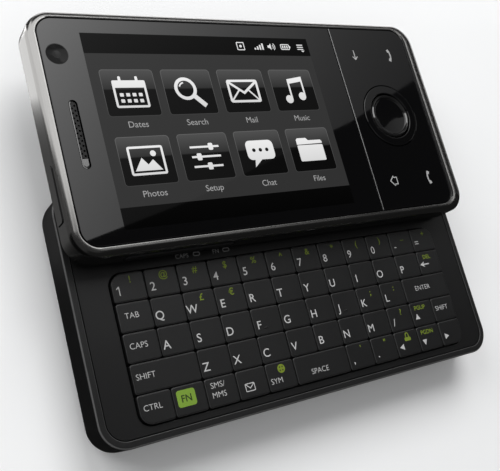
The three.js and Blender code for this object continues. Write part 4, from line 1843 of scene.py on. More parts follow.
@dataclass
class DisplayHalf:
    """Upper half without its navigation end: frame, glass, earpiece, camera and side keys."""

    corner: float = 5.5
    foot: float = 0.35
    top_round: float = 1.6
    rim_inset: float = 1.5
    end_rim_inset: float = 3.87
    rim_land: float = 0.3
    wall: float = 1.4
    ledge: float = 1.6
    ledge_thickness: float = 0.8
    seam: float = 0.15
    seat: float = 0.3
    glass_edge: float = 0.1
    camera_radius: float = 2.25
    camera_shift: float = -0.5
    camera_depth: float = 0.4
    ear_pitch: float = 1.04
    ear_hole: float = 0.22
    ear_rows: int = 11
    ear_half_pitch: float = 0.31
    flange: float = 0.4
    power_reach: float = 0.8
    power_heights: Point = (12.7, 15.9)
    rocker_reach: float = 0.9

    def __post_init__(self) -> None:
        """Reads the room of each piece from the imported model."""
        self.frame = space("display_frame")
        self.window = space("display_window")
        self.ear = space("earpiece_grille")
        self.middle = self.frame.plan.centre[1]
        self.face = self.window.z1
        power, rocker = space("power_button"), space("volume_rocker")
        sides = (power.plan.y0 + self.power_reach, power.plan.y1 - self.power_reach)
        self.power_head = Plan(*sides, *self.power_heights)
        self.rocker_head = rocker.side_view.inset(0, self.rocker_reach)
        camera = space("front_camera_module").plan.centre
        self.camera = (camera[0] + self.camera_shift, camera[1])

    def build(self) -> None:
        """Builds every piece of the upper half but its navigation end."""
        self.build_frame()
        self.build_window()
        self.build_earpiece()
        self.build_front_camera()
        self.build_power_button()
        self.build_volume_rocker()

    def rim_level(self, inner: float, height: float) -> Level:
        """Outline of the face, drawn in from the rim by an amount.

        Args:
            inner: The amount.
            height: Height of the outline.

        Returns:
            The level.
        """
        end = self.frame.plan.x1 - self.end_rim_inset
        plan = replace(self.frame.plan.inset(self.rim_inset), x1=end)
        return Level.inset(plan, self.corner - self.rim_inset, inner, height)

    def build_frame(self) -> None:
        """Metal frame: side, rounded shoulder, bright rim, seat of the glass and ledge."""
        whole, z0, z1 = self.frame.plan, self.frame.z0, self.frame.z1
        corner = self.corner
        levels = [Level.inset(whole, corner, back, z0 + rise) for rise, back in quarter(self.foot)]
        for share, drop in quarter(1.0, 2 * EDGE_STEPS):
            level = Level.inset(whole, corner, self.rim_inset * share, z1 - self.top_round * drop)
            plan = replace(level.plan, x1=whole.x1 - self.end_rim_inset * share)
            levels.append(replace(level, plan=plan))
        edge, land = 0.08, self.rim_land
        ledge_top = self.window.z0 - self.seat
        ledge_bottom = ledge_top - self.ledge_thickness
        levels += [
            self.rim_level(land - edge, z1),
            self.rim_level(land - edge / 3, z1 - edge / 3),
            self.rim_level(land, z1 - edge),
            self.rim_level(land, ledge_top),
            self.rim_level(land + self.ledge, ledge_top),
            self.rim_level(land + self.ledge, ledge_bottom),
            Level.inset(whole, corner, self.wall, ledge_bottom),
            Level.inset(whole, corner, self.wall, z0),
        ]
        shell = loft("frame_shell", levels, steps=20, closed=True)
        seam = self.seam
        rocker_slot = self.rocker_head.inset(-seam, -self.seat)
        holes = [
            plate(
                "power_hole", self.power_head.inset(-seam), 0.75, whole.x0 - OVERRUN,
                whole.x0 + 3.0, facing=Facing.ALONG_X, steps=8,
            ),
            plate(
                "rocker_hole", rocker_slot, 0.9, whole.y0 - OVERRUN, whole.y0 + 1.7,
                facing=Facing.ALONG_Y, steps=8,
            ),
        ]
        carve(shell, holes)
        centre = whole.centre
        right = whole.x1 - self.end_rim_inset - land
        back = whole.y1 - self.rim_inset - land

        def inside(middle: Vector, normal: Vector) -> bool:
            """Whether a face gets painted shade: it looks into the opening, or is the land at its
            back or right end.

            Args:
                middle: Middle of the face.
                normal: Its normal.

            Returns:
                True for a face of the second finish.
            """
            inward = normal.x * (centre[0] - middle.x) + normal.y * (centre[1] - middle.y)
            behind = middle.z < z1 - edge or middle.x > right or middle.y > back
            return (abs(normal.z) > 0.999 and behind) or inward > 0.01

        # Painted shade: faces that look into the opening, and the land at the back and right end,
        # are black.
        finish_faces(shell, Palette.frame, Palette.moulding, inside)
        dress(shell, Palette.frame, "display_half", ["display_frame"], level=True)

    def build_window(self) -> None:
        """Glass over the screen, with the earpiece slot and the well of the front camera."""
        left = self.corner - self.rim_inset - self.rim_land - self.seam
        corners = Corners(self.seam, left, left, self.seam)
        low, face, beyond = self.window.z0, self.face, self.face + OVERRUN
        glass = plate(
            "face_window", self.window.plan, corners, low, face, top=self.glass_edge, steps=20
        )
        slot = self.ear.plan.inset(-self.seam)
        cutters = [
            plate("ear_slot", slot, slot.length / 2, low - OVERRUN, beyond),
            drum("camera_well", self.camera, self.camera_radius, face - self.camera_depth, beyond),
        ]
        carve(glass, cutters)
        dress(glass, Palette.glass, "display_half", ["display_window"], level=True)

    def build_earpiece(self) -> None:
        """Perforated strip in its slot, with a bright lip on one side and a bright end."""
        room, face = self.ear, self.face
        strip = plate("ear_mesh", room.plan, room.plan.length / 2, room.z0, room.z1, top=0.1)
        x, y = room.plan.centre
        first_y = y - self.ear_pitch * (self.ear_rows - 1) / 2 + 0.3
        holes = REPEATER.make(
            "ear_holes", (2, self.ear_rows), (2 * self.ear_half_pitch, self.ear_pitch),
            self.ear_hole, 1.0, (x - self.ear_half_pitch, first_y, room.z1), sides=14,
            stagger=self.ear_pitch / 2,
        )
        carve(strip, [holes])
        dress(strip, Palette.mesh, "display_half", ["earpiece_grille"], level=True)
        wall = room.plan.inset(0.06)
        radius, middle = wall.length / 2, wall.centre[0]
        back_bend = arc((middle, wall.y1 - radius), radius, 130, 180, 6)
        front_bend = arc((middle, wall.y0 + radius), radius, 180, 270, 10)
        lip = flat_print("ear_lip", ribbon([*back_bend, *front_bend], 0.2), face - 0.34, 0.3)
        end_plan = Plan(wall.x0 + 0.1, wall.x1 - 0.06, wall.y0 + 0.25, wall.y0 + 1.95)
        end_corners = Corners(0.1, 0.1, 0.6, 0.6)
        end = plate("ear_end", end_plan, end_corners, room.z1 - 0.05, face - 0.12, top=0.08)
        dress(merge("ear_trim", [lip, end]), Palette.ear_trim, "display_half")

    def build_front_camera(self) -> None:
        """Dark window of the front camera, with the small lens behind it."""
        low, top, rim = self.face - 0.38, self.face - 0.02, self.camera_radius - 0.02
        profile = [
            (0, low), (rim, low), (rim, top), (rim - 0.12, top), (rim - 0.2, top - 0.05),
            (1.0, top - 0.07), (0.85, top - 0.12), (0.75, top - 0.12), (0, top - 0.02),
        ]
        window = turned("front_window", self.camera, profile, sides=64)
        dress(window, Palette.quiet_lens, "display_half")

    def _side_key(
        self, name: str, head: Plan, foot: Plan, corner: float, ends: Point, lip: float,
        facing: Facing,
    ) -> Object:
        """Button with its flange behind the frame's wall.

        Args:
            name: Start of its name.
            head: Rectangle of the part that shows.
            foot: Rectangle of the flange.
            corner: Radius of the head's corners.
            ends: Its outer and its inner end.
            lip: Radius of the head's outer edge.
            facing: Which way it runs inwards.

        Returns:
            The object.
        """
        neck = ends[1] - self.flange
        cap = plate(name + "_cap", head, corner, ends[0], neck, foot=lip, facing=facing, steps=8)
        flange = plate(name + "_flange", foot, 0.2, neck, ends[1], facing=facing, steps=4)
        return merge(name + "_key", [cap, flange])

    def build_power_button(self) -> None:
        """Power button in the left end of the frame."""
        room = space("power_button")
        ends = (room.plan.x0, room.plan.x1)
        button = self._side_key(
            "power", self.power_head, room.end_view, 0.6, ends, 0.07, Facing.ALONG_X
        )

        def in_painted_seam_shade(_middle: Vector, normal: Vector) -> bool:
            """Whether a face is part of the button's sides, which are painted black as the shade of
            its seam.
            """
            return abs(normal.x) < 0.95

        # Painted shadow: the button's sides are black, as the shade in its seam.
        finish_faces(button, Palette.frame, Palette.moulding, in_painted_seam_shade)
        dress(button, Palette.frame, "power_button", ["power_button"], level=True)

    def build_volume_rocker(self) -> None:
        """Volume rocker in the front side of the frame."""
        room = space("volume_rocker")
        ends = (room.plan.y0, room.plan.y1)
        rocker = self._side_key(
            "rocker", self.rocker_head, room.side_view, 0.7, ends, 0.22, Facing.ALONG_Y
        )
        body = "volume_rocker"
        dress(rocker, Palette.dark_metal, body, [body], level=True)


class Pictogram(Enum):
    """Motif on a tile of the screen."""

    DATES = "Dates"
    SEARCH = "Search"
    MAIL = "Mail"
    MUSIC = "Music"
    PHOTOS = "Photos"
    SETUP = "Setup"
    CHAT = "Chat"
    FILES = "Files"


class PictogramArtist:
    """Draws each motif as printed loops in a square that runs from -1 to 1."""

    def loops(self, motif: Pictogram) -> list[list[Loop]]:
        """Layers of a motif.

        Args:
            motif: The motif.

        Returns:
            Groups of loops; loops inside one another in a group are holes.
        """
        return getattr(self, "_" + motif.name.lower())()

    @staticmethod
    def _box(x0: float, x1: float, y0: float, y1: float, corner: float = 0.08) -> Loop:
        """Rounded rectangle."""
        return outline(Plan(x0, x1, y0, y1), corner, 4)

    def _dates(self) -> list[list[Loop]]:
        """Calendar leaf with a grid of days.

        Returns:
            Its layers.
        """
        days = [
            self._box(-0.66 + i * 0.37, -0.44 + i * 0.37, -0.58 + j * 0.36, -0.38 + j * 0.36, 0.03)
            for i in range(4)
            for j in range(2)
        ]
        header = [self._box(-0.98, 0.98, 0.3, 0.74)]
        sheet = ribbon(self._box(-0.92, 0.92, -0.82, 0.66, 0.06), 0.13, closed=True)
        posts = [self._box(x - 0.08, x + 0.08, 0.6, 0.98, 0.06) for x in (-0.5, 0.5)]
        return [sheet, header, *[[day] for day in days], *[[post] for post in posts]]

    def _search(self) -> list[list[Loop]]:
        """Magnifying glass.

        Returns:
            Its layers.
        """
        ring = ribbon(disc((-0.22, 0.2), 0.6, 40), 0.2, closed=True)
        handle = ribbon([(0.24, -0.26), (0.86, -0.88)], 0.3)
        glint = ribbon(arc((-0.22, 0.2), 0.38, 100, 160, 8), 0.09)
        return [ring, handle, glint]

    def _mail(self) -> list[list[Loop]]:
        """Closed envelope.

        Returns:
            Its layers.
        """
        sheet = ribbon(self._box(-1.0, 1.0, -0.66, 0.66, 0.08), 0.15, closed=True)
        flap = ribbon([(-0.92, 0.56), (0, -0.12), (0.92, 0.56)], 0.15)
        left = ribbon([(-0.92, -0.58), (-0.34, 0.04)], 0.1)
        right = ribbon([(0.92, -0.58), (0.34, 0.04)], 0.1)
        return [sheet, flap, left, right]

    def _music(self) -> list[list[Loop]]:
        """Pair of joined notes.

        Returns:
            Its layers.
        """
        heads = [[disc((-0.5, -0.6), 0.27, 24)], [disc((0.52, -0.42), 0.27, 24)]]
        stems = [ribbon([(x, y), (x, y + 1.22)], 0.12) for x, y in ((-0.29, -0.6), (0.73, -0.42))]
        beam = [[(-0.35, 0.42), (0.79, 0.6), (0.79, 0.92), (-0.35, 0.74)]]
        return [*heads, *stems, beam]

    def _photos(self) -> list[list[Loop]]:
        """Framed view of hills and sun.

        Returns:
            Its layers.
        """
        edge = ribbon(self._box(-0.98, 0.98, -0.76, 0.76, 0.06), 0.13, closed=True)
        hills = [[(-0.8, -0.58), (-0.3, 0.16), (0.02, -0.24), (0.34, 0.04), (0.8, -0.58)]]
        sun = [disc((0.42, 0.38), 0.17, 20)]
        return [edge, hills, sun]

    def _setup(self) -> list[list[Loop]]:
        """Three sliders.

        Returns:
            Its layers.
        """
        layers = []
        for y, knob in ((0.58, 0.4), (0.0, -0.45), (-0.58, 0.1)):
            layers.append(ribbon([(-0.92, y), (0.92, y)], 0.12))
            layers.append([self._box(knob - 0.15, knob + 0.15, y - 0.21, y + 0.21, 0.08)])
        return layers

    def _chat(self) -> list[list[Loop]]:
        """Speech bubble with three dots.

        Returns:
            Its layers.
        """
        bubble = self._box(-0.95, 0.95, -0.42, 0.78, 0.3)
        dots = [disc((x, 0.18), 0.12, 14) for x in (-0.45, 0.0, 0.45)]
        tail = [[(-0.5, -0.38), (-0.62, -0.88), (0.0, -0.38)]]
        return [[bubble, *dots], tail]

    def _files(self) -> list[list[Loop]]:
        """Folder with a tab.

        Returns:
            Its layers.
        """
        tab = [(-0.84, 0.76), (-0.2, 0.76), (-0.06, 0.6), (0.86, 0.6)]
        back = [(-0.95, 0.34), (-0.95, 0.66), *tab, (0.95, 0.5), (0.95, 0.38)]
        return [[back], [self._box(-0.95, 0.95, -0.74, 0.3, 0.08)]]


@dataclass
class ScreenPicture:
    """What the lit screen shows: a bar of small signs, eight tiles with labels, and a foot bar."""

    face: DisplayHalf
    area: Plan = Plan(-40.45, 15.6, -20.95, 20.45)
    status_bar: float = 4.5
    foot_bar: float = 4.3
    tile_length: float = 11.5
    tile_width: float = 10.15
    tile_lefts: tuple[float, ...] = (-38.25, -24.85, -11.4, 2.1)
    tile_backs: tuple[float, ...] = (12.3, -2.3)
    label_drop: float = 1.75
    label_capital: float = 1.38
    tile_corner: float = 0.7
    outline_width: float = 0.12
    layer: float = 0.004
    icon_scale: float = 3.7

    def __post_init__(self) -> None:
        """Builds the finishes of the lit screen."""
        panels = {
            "ground": LitPanel("screen ground", grey(0.029), grey(0.029), grey(0.033)),
            "bar": LitPanel("screen bar", grey(0.0003), grey(0.0003), grey(0.001)),
            "tile": LitPanel("screen tile", grey(0.0025), grey(0.024), grey(0.075), turn=0.56),
            "edge": LitPanel("tile edge", grey(0.05), grey(0.05), grey(0.13)),
            "sign": LitPanel("screen sign", grey(0.62), grey(0.62), grey(0.9)),
            "label": LitPanel("screen label", grey(0.34), grey(0.34), grey(0.4)),
        }
        self.finishes = {name: panel.material() for name, panel in panels.items()}
        self.artist = PictogramArtist()
        area = self.area
        self.top_bar = replace(area, y0=area.y1 - self.status_bar)
        self.low_bar = replace(area, y1=area.y0 + self.foot_bar)

    def build(self) -> None:
        """Builds the whole picture."""
        for name, plan, finish, layer in (
            ("screen_ground", self.area, "ground", 0),
            ("screen_status_bar", self.top_bar, "bar", 1),
            ("screen_foot_bar", self.low_bar, "bar", 1),
        ):
            self.show(self._printed(name, [outline(plan, LEAST_RADIUS, 6)], layer), plan, finish)
        motifs = iter(Pictogram)
        for back in self.tile_backs:
            for left in self.tile_lefts:
                self.build_tile(left, back, next(motifs))
        self.build_status_signs()

    def _z(self, layer: int) -> float:
        """Height of a layer over the glass."""
        return self.face.face + layer * self.layer

    def show(self, obj: Object, plan: Plan, finish: str) -> None:
        """Gives a printed part of the picture its map, finish and body.

        Args:
            obj: The part.
            plan: The rectangle of its map.
            finish: Name of its finish.
        """
        shifted = replace(plan, y0=plan.y0 + self.face.middle, y1=plan.y1 + self.face.middle)
        panel_uv(obj, shifted)
        dress(obj, self.finishes[finish], "display_half")

    def _printed(self, name: str, loops: Sequence[Loop], layer: int, share: float = 1.0) -> Object:
        """Shape on a layer of the picture, given about the middle of the upper half.

        Args:
            name: Name of the piece.
            loops: Its outlines.
            layer: Which layer it lies on.
            share: Its thickness, as a share of a layer's.

        Returns:
            The object.
        """
        lifted = [[(x, y + self.face.middle) for x, y in loop] for loop in loops]
        return flat_print(name, lifted, self._z(layer), self.layer * share)

    def build_tile(self, left: float, back: float, motif: Pictogram) -> None:
        """One tile with its edge, motif and label.

        Args:
            left: Left side of the tile.
            back: Back side of the tile.
            motif: What it shows.
        """
        plan = Plan(left, left + self.tile_length, back - self.tile_width, back)
        name = "tile_" + motif.name.lower()
        border = outline(plan, self.tile_corner, 6)
        self.show(self._printed(name, [border], 1), plan, "tile")
        line = ribbon(border, self.outline_width, closed=True)
        self.show(self._printed(name + "_edge", line, 2), plan, "edge")
        x, y = plan.centre
        scale = self.icon_scale
        parts = []
        for i, loops in enumerate(self.artist.loops(motif)):
            scaled = [[(x + u * scale, y + v * scale) for u, v in loop] for loop in loops]
            parts.append(self._printed(f"{name}_part_{i}", scaled, 3, 1 + 0.1 * i))
        self.show(merge(name + "_sign", parts), plan, "sign")
        centre = (x, plan.y0 - self.label_drop + self.face.middle)
        capital, height = self.label_capital, self._z(2)
        word = lettering(name + "_label", motif.value, capital, centre, height, self.layer)
        self.show(word, plan, "label")

    def build_status_signs(self) -> None:
        """Small signs on the status bar: box, signal, speaker, battery and list."""
        y = self.area.y1 - self.status_bar / 2

        def box(x0: float, x1: float, low: float, high: float, corner: float) -> Loop:
            """Rounded rectangle, by its heights over the middle of the bar."""
            return outline(Plan(x0, x1, y + low, y + high), corner, 3)

        def shape(*points: Point) -> list[Loop]:
            """Plain outline, by its heights over the middle of the bar."""
            return [[(x, y + up) for x, up in points]]

        bars = [(0.3 + i * 0.7, -0.35 + i * 0.38) for i in range(4)]
        cells = [8.05 + i * 0.6 for i in range(3)]
        lines = [0.45 - i * 0.55 for i in range(3)]
        speaker = [(4.0, -0.3), (4.4, -0.3), (4.95, -0.8), (4.95, 0.8), (4.4, 0.3), (4.0, 0.3)]
        layers = [
            ribbon(box(-4.2, -2.4, -0.9, 0.9, 0.1), 0.22, closed=True),
            [disc((-3.3, y), 0.34, 12)],
            *([box(x, x + 0.42, -0.8, high, 0.04)] for x, high in bars),
            shape(*speaker),
            ribbon(arc((4.95, y), 0.6, -50, 50, 8), 0.18),
            ribbon(arc((4.95, y), 1.05, -50, 50, 8), 0.18),
            ribbon(outline(Plan(7.7, 10.0, y - 0.62, y + 0.62), 0.2, 4), 0.2, closed=True),
            *([box(x, x + 0.35, -0.36, 0.36, 0.04)] for x in cells),
            [box(10.1, 10.35, -0.26, 0.26, 0.06)],
            *([box(12.3, 14.0, low, low + 0.24, 0.05)] for low in lines),
            shape((13.2, -0.85), (14.2, -0.85), (13.7, -1.3)),
        ]
        parts = [
            self._printed(f"status_{i}", loops, 2, 1 + 0.03 * i) for i, loops in enumerate(layers)
        ]
        self.show(merge("status_signs", parts), self.top_bar, "sign")


@dataclass
class NavigationEnd:
    """Right end of the face: the rocking panel with its marks, the ring and the enter button."""

    upper: DisplayHalf
    mark_depth: float = 0.01
    edge: float = 0.17

    def __post_init__(self) -> None:
        """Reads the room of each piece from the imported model."""
        self.panel = space("nav_panel")
        self.ring = space("nav_ring")
        self.enter = space("enter_button")
        self.centre = self.ring.plan.centre

    def build(self) -> None:
        """Builds the panel, its marks, the ring and the button."""
        self.build_panel()
        self.build_ring()
        self.build_enter()
        self.build_marks()

    def build_panel(self) -> None:
        """Polished panel with the round hole of the ring."""
        corner = self.upper.corner - self.upper.rim_inset - self.upper.rim_land - self.upper.seam
        corners = Corners(corner, self.upper.seam, self.upper.seam, corner)
        top = self.panel.z1
        panel = plate(
            "control_panel", self.panel.plan, corners, self.panel.z0, top, top=self.edge, steps=20
        )
        radius = self.ring.plan.length / 2 + self.upper.seam
        low, high = self.panel.z0 - OVERRUN, top + OVERRUN
        profile = [
            (0, low), (radius, low), (radius, top - 0.07), (radius + 0.02, top - 0.02),
            (radius + 0.06, top + 0.005), (radius + 0.06, high), (0, high),
        ]
        hole = turned("ring_hole", self.centre, profile, sides=128)
        carve(panel, [hole])
        seam = self.panel.plan.x0 + self.edge

        def on_painted_seam_highlight(middle: Vector, normal: Vector) -> bool:
            """Whether a face is part of the rounded edge along the seam, which gets a painted
            highlight.
            """
            return middle.x < seam and 0.05 < normal.z < 0.99

        finish_faces(panel, Palette.gloss, Palette.painted_seam_highlight, on_painted_seam_highlight)
        dress(panel, Palette.gloss, "nav_panel", ["nav_panel"], level=True)

    def build_ring(self) -> None:
        """Ring pad that rocks four ways, level with fine rounded edges."""
        outer = self.ring.plan.length / 2
        inner = self.enter.plan.length / 2 + 0.275
        bottom, top = self.ring.z0, self.ring.z1
        profile = [
            (inner, bottom), (outer, bottom), (outer, top - 0.18), (outer - 0.05, top - 0.06),
            (outer - 0.16, top), (outer - 0.24, top), (inner + 0.24, top), (inner + 0.16, top),
            (inner + 0.05, top - 0.05), (inner, top - 0.16),
        ]
        ring = turned("ring_pad", self.centre, profile, sides=128, closed=True)
        dress(ring, Palette.gloss, "nav_ring", ["nav_ring"], level=True)

    def build_enter(self) -> None:
        """Enter button: a raised rim round a shallow dish."""
        radius = self.enter.plan.length / 2
        bottom, top = self.enter.z0, self.enter.z1
        slopes = [
            (0.0, 0.52), (0.02, 0.46), (0.26, 0.1), (0.33, 0.02), (0.4, 0.0), (0.45, 0.0),
            (0.51, 0.02), (0.58, 0.09), (0.66, 0.2), (0.76, 0.31), (0.9, 0.39), (1.06, 0.44),
            (1.16, 0.45), (4.0, 0.595),
        ]
        profile = [(0, bottom), (radius, bottom)]
        profile += [(radius - back, top - drop) for back, drop in slopes]
        profile.append((0, top - 0.625))
        button = turned("enter_key", self.centre, profile, sides=128)

        def on_rim(_middle: Vector, normal: Vector) -> bool:
            """Whether a face is part of the bevel or of the wall round the dish."""
            return 0.3 < normal.z < 0.8

        finish_faces(button, Palette.gloss, Palette.button_rim, on_rim)
        dress(button, Palette.gloss, "enter_button", ["enter_button"], level=True)

    def build_marks(self) -> None:
        """Back, call, home and end marks printed on the panel."""
        middle = self.upper.middle
        back = self._arrow((29.2, middle + 16.4))
        home = self._house((29.2, middle - 16.7))
        call = self._handset((40.7, middle + 16.4), 180)
        end = self._handset((40.8, middle - 16.7), 0)
        parts = [
            flat_print(f"mark_{i}", loops, self.panel.z1, self.mark_depth * (1 + 0.05 * i))
            for i, loops in enumerate([*back, *home, *call, *end])
        ]
        dress(merge("panel_marks", parts), Palette.mark, "nav_panel")

    @staticmethod
    def _arrow(centre: Point) -> list[list[Loop]]:
        """Arrow that points to the front.

        Args:
            centre: Its middle.

        Returns:
            Its strokes.
        """
        x, y = centre
        stem = ribbon([(x, y + 1.25), (x, y - 0.95)], 0.3)
        head = ribbon([(x - 0.75, y - 0.4), (x, y - 1.2), (x + 0.75, y - 0.4)], 0.3)
        return [stem, head]

    @staticmethod
    def _house(centre: Point) -> list[list[Loop]]:
        """Outline of a house on its side.

        Args:
            centre: Its middle.

        Returns:
            Its strokes.
        """
        x, y = centre
        near, far, low, high = x + 0.2, x + 1.15, y - 0.85, y + 0.85
        wall = [(near, low), (far, low), (far, high), (near, high)]
        roof = [(x + 0.25, y - 1.25), (x - 0.9, y), (x + 0.25, y + 1.25)]
        return [ribbon(wall, 0.26), ribbon(roof, 0.26)]

    @staticmethod
    def _handset(centre: Point, turn: float) -> list[list[Loop]]:
        """Telephone handset, as a bow with thicker ends.

        Args:
            centre: Its middle.
            turn: Angle of the side that it opens to, in degrees.

        Returns:
            Its strokes.
        """
        bow_centre = arc(centre, 3.0, turn, turn, 1)[0]
        bow = ribbon(arc(bow_centre, 3.3, turn + 150, turn + 210, 14), 0.44)
        starts = (turn + 149, turn + 196)
        ends = [ribbon(arc(bow_centre, 3.0, start, start + 15, 4), 0.5) for start in starts]
        return [bow, *ends]


KEPT_NODES: dict[Material, str] = {
    Palette.rubber: "key_mat nav_dome_sheet",
    Palette.circuit: "main_board display_board",
    Palette.wrap: "battery",
    Palette.panel: "lcd_module",
    Palette.moulding: "rear_camera_module stylus_silo front_camera_module",
    Palette.dark_metal: "loudspeaker slider_back_plate earpiece_speaker",
    Palette.steel: (
        "sim_holder vibration_motor usb_socket slide_runner_left slide_runner_right nav_gimbal"
    ),
}


class Internals:
    """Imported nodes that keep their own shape."""

    def build(self) -> None:
        """Gives each kept node its finish."""
        for material, nodes in KEPT_NODES.items():
            for node in nodes.split():
                dress_node(node, material)


@dataclass(frozen=True)
class Glow:
    """Brightness of a card over its own X and Y, in millimetres.

    It is level + exp(start + along_x * x + along_y * y), never more than most.
    """

    level: float = 0.02
    start: float = -20.0
    along_x: float = 0.0
    along_y: float = 0.0
    most: float = 4.0

    def wire(self, tree: Tree) -> Socket:
        """Wires the brightness and returns its output.

        Args:
            tree: The card's node tree.

        Returns:
            The output of the brightness.
        """
        place = add_node(tree, "ShaderNodeTexCoord").outputs["Object"]
        sources = {0: place, 1: (self.along_x / MM, self.along_y / MM, 0)}
        slope = add_node(tree, "ShaderNodeVectorMath", sources, operation="DOT_PRODUCT")
        power = add_math(tree, "ADD", slope.outputs["Value"], self.start)
        grown = add_math(tree, "EXPONENT", power)
        return add_math(tree, "MINIMUM", add_math(tree, "ADD", grown, self.level), self.most)


@dataclass
class Studio:
    """Pale floor, soft lamps, and the cards that polished surfaces show."""

    floor_size: float = 4000.0
    floor_colour: Colour = (0.84, 0.845, 0.85)
    world_strength: float = 0.36
    floor_drop: float = 0.05
    card_drop: float = 0.02
    ceiling: float = 500.0
    dome: float = 1500.0
    side: float = -160.0
    front: float = -200.0
    back: float = 400.0
    edge: float = -52.0

    def build(self) -> None:
        """Builds the floor, the world and the lamps."""
        self.build_floor()
        self.build_world()
        self.build_lamps()
        self.build_cards()

    def build_floor(self) -> None:
        """Plain pale floor under the phone."""
        half = self.floor_size / 2
        loop = self._level_box(-half, half, -half, half, -self.floor_drop)
        floor = mesh_object("floor", [Vector(corner) for corner in loop], [(0, 1, 2, 3)])
        paper = Finish(
            "paper floor", self.floor_colour, 0.9, specular=0.1, tone_spread=0.01, relief=0.0
        )
        floor.data.materials.append(paper.material())

    def build_world(self) -> None:
        """Even soft light, which mirrors and the camera see as white."""
        world = bpy.data.worlds.new("soft_studio")
        world.use_nodes = True
        tree = world.node_tree
        white = {"Color": opaque(grey(1)), "Strength": 1}
        ground = tree.nodes["Background"]
        feed(tree, ground, {**white, "Strength": self.world_strength})
        seen = add_node(tree, "ShaderNodeBackground", white)
        path = add_node(tree, "ShaderNodeLightPath").outputs
        rays = path["Is Camera Ray"]
        for kind in ("Is Glossy Ray", "Is Transmission Ray"):
            rays = add_math(tree, "MAXIMUM", rays, path[kind])
        sources = {"Fac": rays, 1: ground.outputs[0], 2: seen.outputs[0]}
        choose = add_node(tree, "ShaderNodeMixShader", sources)
        feed(tree, tree.nodes["World Output"], {"Surface": choose.outputs[0]})
        bpy.context.scene.world = world

    def build_lamps(self) -> None:
        """Broad soft lamps: the main one behind, a weaker one on its left, a faint one in front."""
        aim = (0, 20, 0)
        self.lamp("back_lamp", (160, 610, 660), aim, 560, 5.6)
        self.lamp("side_lamp", (-480, 430, 420), aim, 420, 2.7)
        self.lamp("front_lamp", (-260, -260, 460), aim, 420, 0.25)

    @staticmethod
    def lamp(name: str, place: Place, aim: Place, size: float, power: float) -> None:
        """Square area lamp, which polished surfaces don't show.

        Args:
            name: Name of the lamp.
            place: Where it stands.
            aim: What it points at.
            size: Side of its square.
            power: Its power, in watts.
        """
        data = bpy.data.lights.new(name, "AREA")
        data.energy = power
        data.size = size * MM
        lamp = bpy.data.objects.new(name, data)
        lamp.location = Vector(place) * MM
        lamp.rotation_euler = (Vector(place) - Vector(aim)).to_track_quat("Z", "Y").to_euler()
        lamp.visible_glossy = False
        bpy.context.scene.collection.objects.link(lamp)

    def build_cards(self) -> None:
        """Cards that only polished surfaces see, bright over and beside the phone."""
        self.build_ceiling()
        far, low = self.floor_size / 2, -self.card_drop
        ground = Glow(level=0.02, start=-37.0, along_y=0.5, most=1.2)
        self.card("floor_card", self._level_box(-far, far, -far, far, low), ground)
        self.build_side(low + self.card_drop / 2)
        arch = [step * math.pi / 16 for step in range(8)]
        profile = [(self.dome * math.cos(a), self.dome * math.sin(a)) for a in arch]
        dome = turned("dark_dome", (0, 0), [*profile, (0, self.dome)], sides=32)
        self.finish_card(dome, Glow())

    def build_ceiling(self) -> None:
        """Level cards over the phone, which its face shows."""
        z = self.ceiling
        split = [(60, 121), (136, 141), (246, 168), (372, 210), (466, 240), (582, 290), (900, 430)]
        bright = [(x, y, z) for x, y in (*split, (900, 450), (60, 450))]
        slope = Glow(level=0.05, start=0.6, along_x=-0.0057, along_y=0.0041)
        self.card("bright_ceiling", bright, slope)
        self.card("back_ceiling", self._level_box(60, 900, 450, 1000, z), Glow(level=0.3))
        near = Glow(level=0.03, start=0.5, along_x=-0.0075, most=0.8)
        self.card("near_ceiling", [(60, -45, z), (600, -45, z), (600, 128, z), (60, 110, z)], near)
        front = self._level_box(60, 600, -135, -45, z)
        self.card("front_ceiling", front, replace(near, start=-1.5))
        self.card("right_line", self._level_box(680, 830, 60, 470, z - 2), Glow(level=1.5))

    def build_side(self, low: float) -> None:
        """Cards beside the left end, which the frame's metal shows: a darker one at each corner.

        Args:
            low: Height of the level ones.
        """
        left, edge, front, back = self.side, self.edge, self.front, self.back
        side = Glow(level=0.11, start=-12.7, along_x=0.09, along_y=0.36, most=1.4)
        shoulder = Glow(level=0.06, start=-16.0, along_y=0.2, most=1.6)
        corner = Glow(level=0.04)
        fade = Glow(level=0.005, start=-2.45, along_x=0.0625, along_y=0.25, most=0.115)
        over, fold, top, near_wall = low + 0.1, 45.0, 260.0, left + 1
        streak_end, dark_start, fade_end = 162.0, 73.0, 52.0
        self.card("side_floor", self._level_box(left, edge, front, back, low), side)
        strip = [(left, 150, over), (edge, 65, over)]
        strip += [(edge, dark_start, over), (left, streak_end, over)]
        self.card("corner_streak", strip, Glow(level=3.0))
        patch = [(left, streak_end, over), (edge, dark_start, over)]
        patch += [(edge, back, over), (left, back, over)]
        self.card("corner_floor", patch, corner)
        self.card("corner_wall", self._wall(near_wall, streak_end, back, low, 60), corner)
        fading = [(left, front, over), (edge, front, over)]
        fading += [(edge, 26, over), (left, fade_end, over)]
        self.card("front_floor", fading, fade)
        self.card("front_wall", self._wall(near_wall, front, fade_end, low, fold), fade)
        self.card("side_wall", self._wall(left, front, back, low, fold), side)
        self.card("shoulder_wall", self._wall(left, front, back, fold, top), shoulder)
        hood = self._level_box(left, 40.0, front, back, top)
        self.card("side_hood", hood, replace(shoulder, start=-18.4))

    @staticmethod
    def _level_box(x0: float, x1: float, y0: float, y1: float, z: float) -> list[Place]:
        """Corners of a level rectangle."""
        return [(x0, y0, z), (x1, y0, z), (x1, y1, z), (x0, y1, z)]

    @staticmethod
    def _wall(x: float, y0: float, y1: float, z0: float, z1: float) -> list[Place]:
        """Corners of an upright rectangle that faces along x."""
        return [(x, y0, z0), (x, y1, z0), (x, y1, z1), (x, y0, z1)]

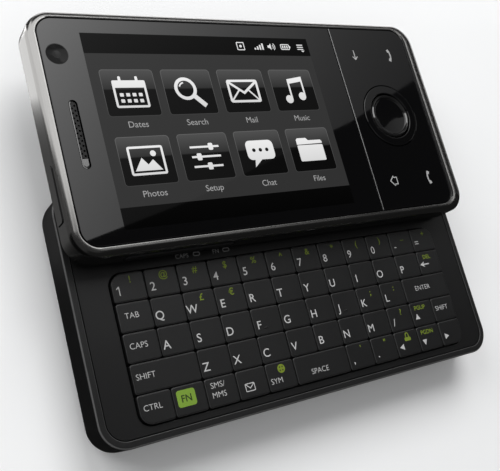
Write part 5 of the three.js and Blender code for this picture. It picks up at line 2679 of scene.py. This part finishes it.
    def card(self, name: str, loop: Sequence[Place], glow: Glow) -> None:
        """Flat card.

        Args:
            name: Name of the card.
            loop: Its corners.
            glow: Its brightness.
        """
        card = mesh_object(name, [Vector(corner) for corner in loop], [tuple(range(len(loop)))])
        self.finish_card(card, glow)

    @staticmethod
    def finish_card(card: Object, glow: Glow) -> None:
        """Makes an object a card that shows in reflections alone.

        Args:
            card: The object.
            glow: Its brightness.
        """
        material = bpy.data.materials.new(card.name)
        material.use_nodes = True
        tree = material.node_tree
        tree.nodes.remove(tree.nodes["Principled BSDF"])
        light = add_node(tree, "ShaderNodeEmission", {"Strength": glow.wire(tree)})
        feed(tree, tree.nodes["Material Output"], {"Surface": light.outputs[0]})
        card.data.materials.append(material)
        for ray in ("camera", "diffuse", "shadow", "transmission"):
            setattr(card, "visible_" + ray, False)


@dataclass
class PhotoCamera:
    """Camera that stands where the photograph was taken from."""

    place: Place = (-96.78, -21.66, 146.88)
    ahead: Place = (0.5305, 0.1987, -0.8241)
    upward: Place = (0.1138, 0.9467, 0.3015)
    lens: float = 54.96
    sensor: float = 36.0

    def build(self) -> None:
        """Creates the camera and makes it the scene's."""
        data = bpy.data.cameras.new("photo_camera")
        data.lens = self.lens
        data.sensor_width = self.sensor
        data.clip_start = 0.005
        data.clip_end = 20
        back = -Vector(self.ahead).normalized()
        right = Vector(self.upward).cross(back).normalized()
        up = back.cross(right)
        turn = Matrix((right, up, back)).transposed().to_4x4()
        camera = bpy.data.objects.new("photo_camera", data)
        camera.matrix_world = Matrix.Translation(Vector(self.place) * MM) @ turn
        bpy.context.scene.collection.objects.link(camera)
        bpy.context.scene.camera = camera


def main() -> None:
    """Builds the phone, the studio and the camera in order."""
    logging.basicConfig(level=logging.INFO, format="%(message)s")
    bpy.context.scene.view_settings.view_transform = "Standard"
    PhotoCamera().build()
    BaseHalf().build()
    Keyboard().build()
    upper = DisplayHalf()
    upper.build()
    ScreenPicture(upper).build()
    NavigationEnd(upper).build()
    Internals().build()
    Studio().build()


if __name__ == "__main__":
    main()
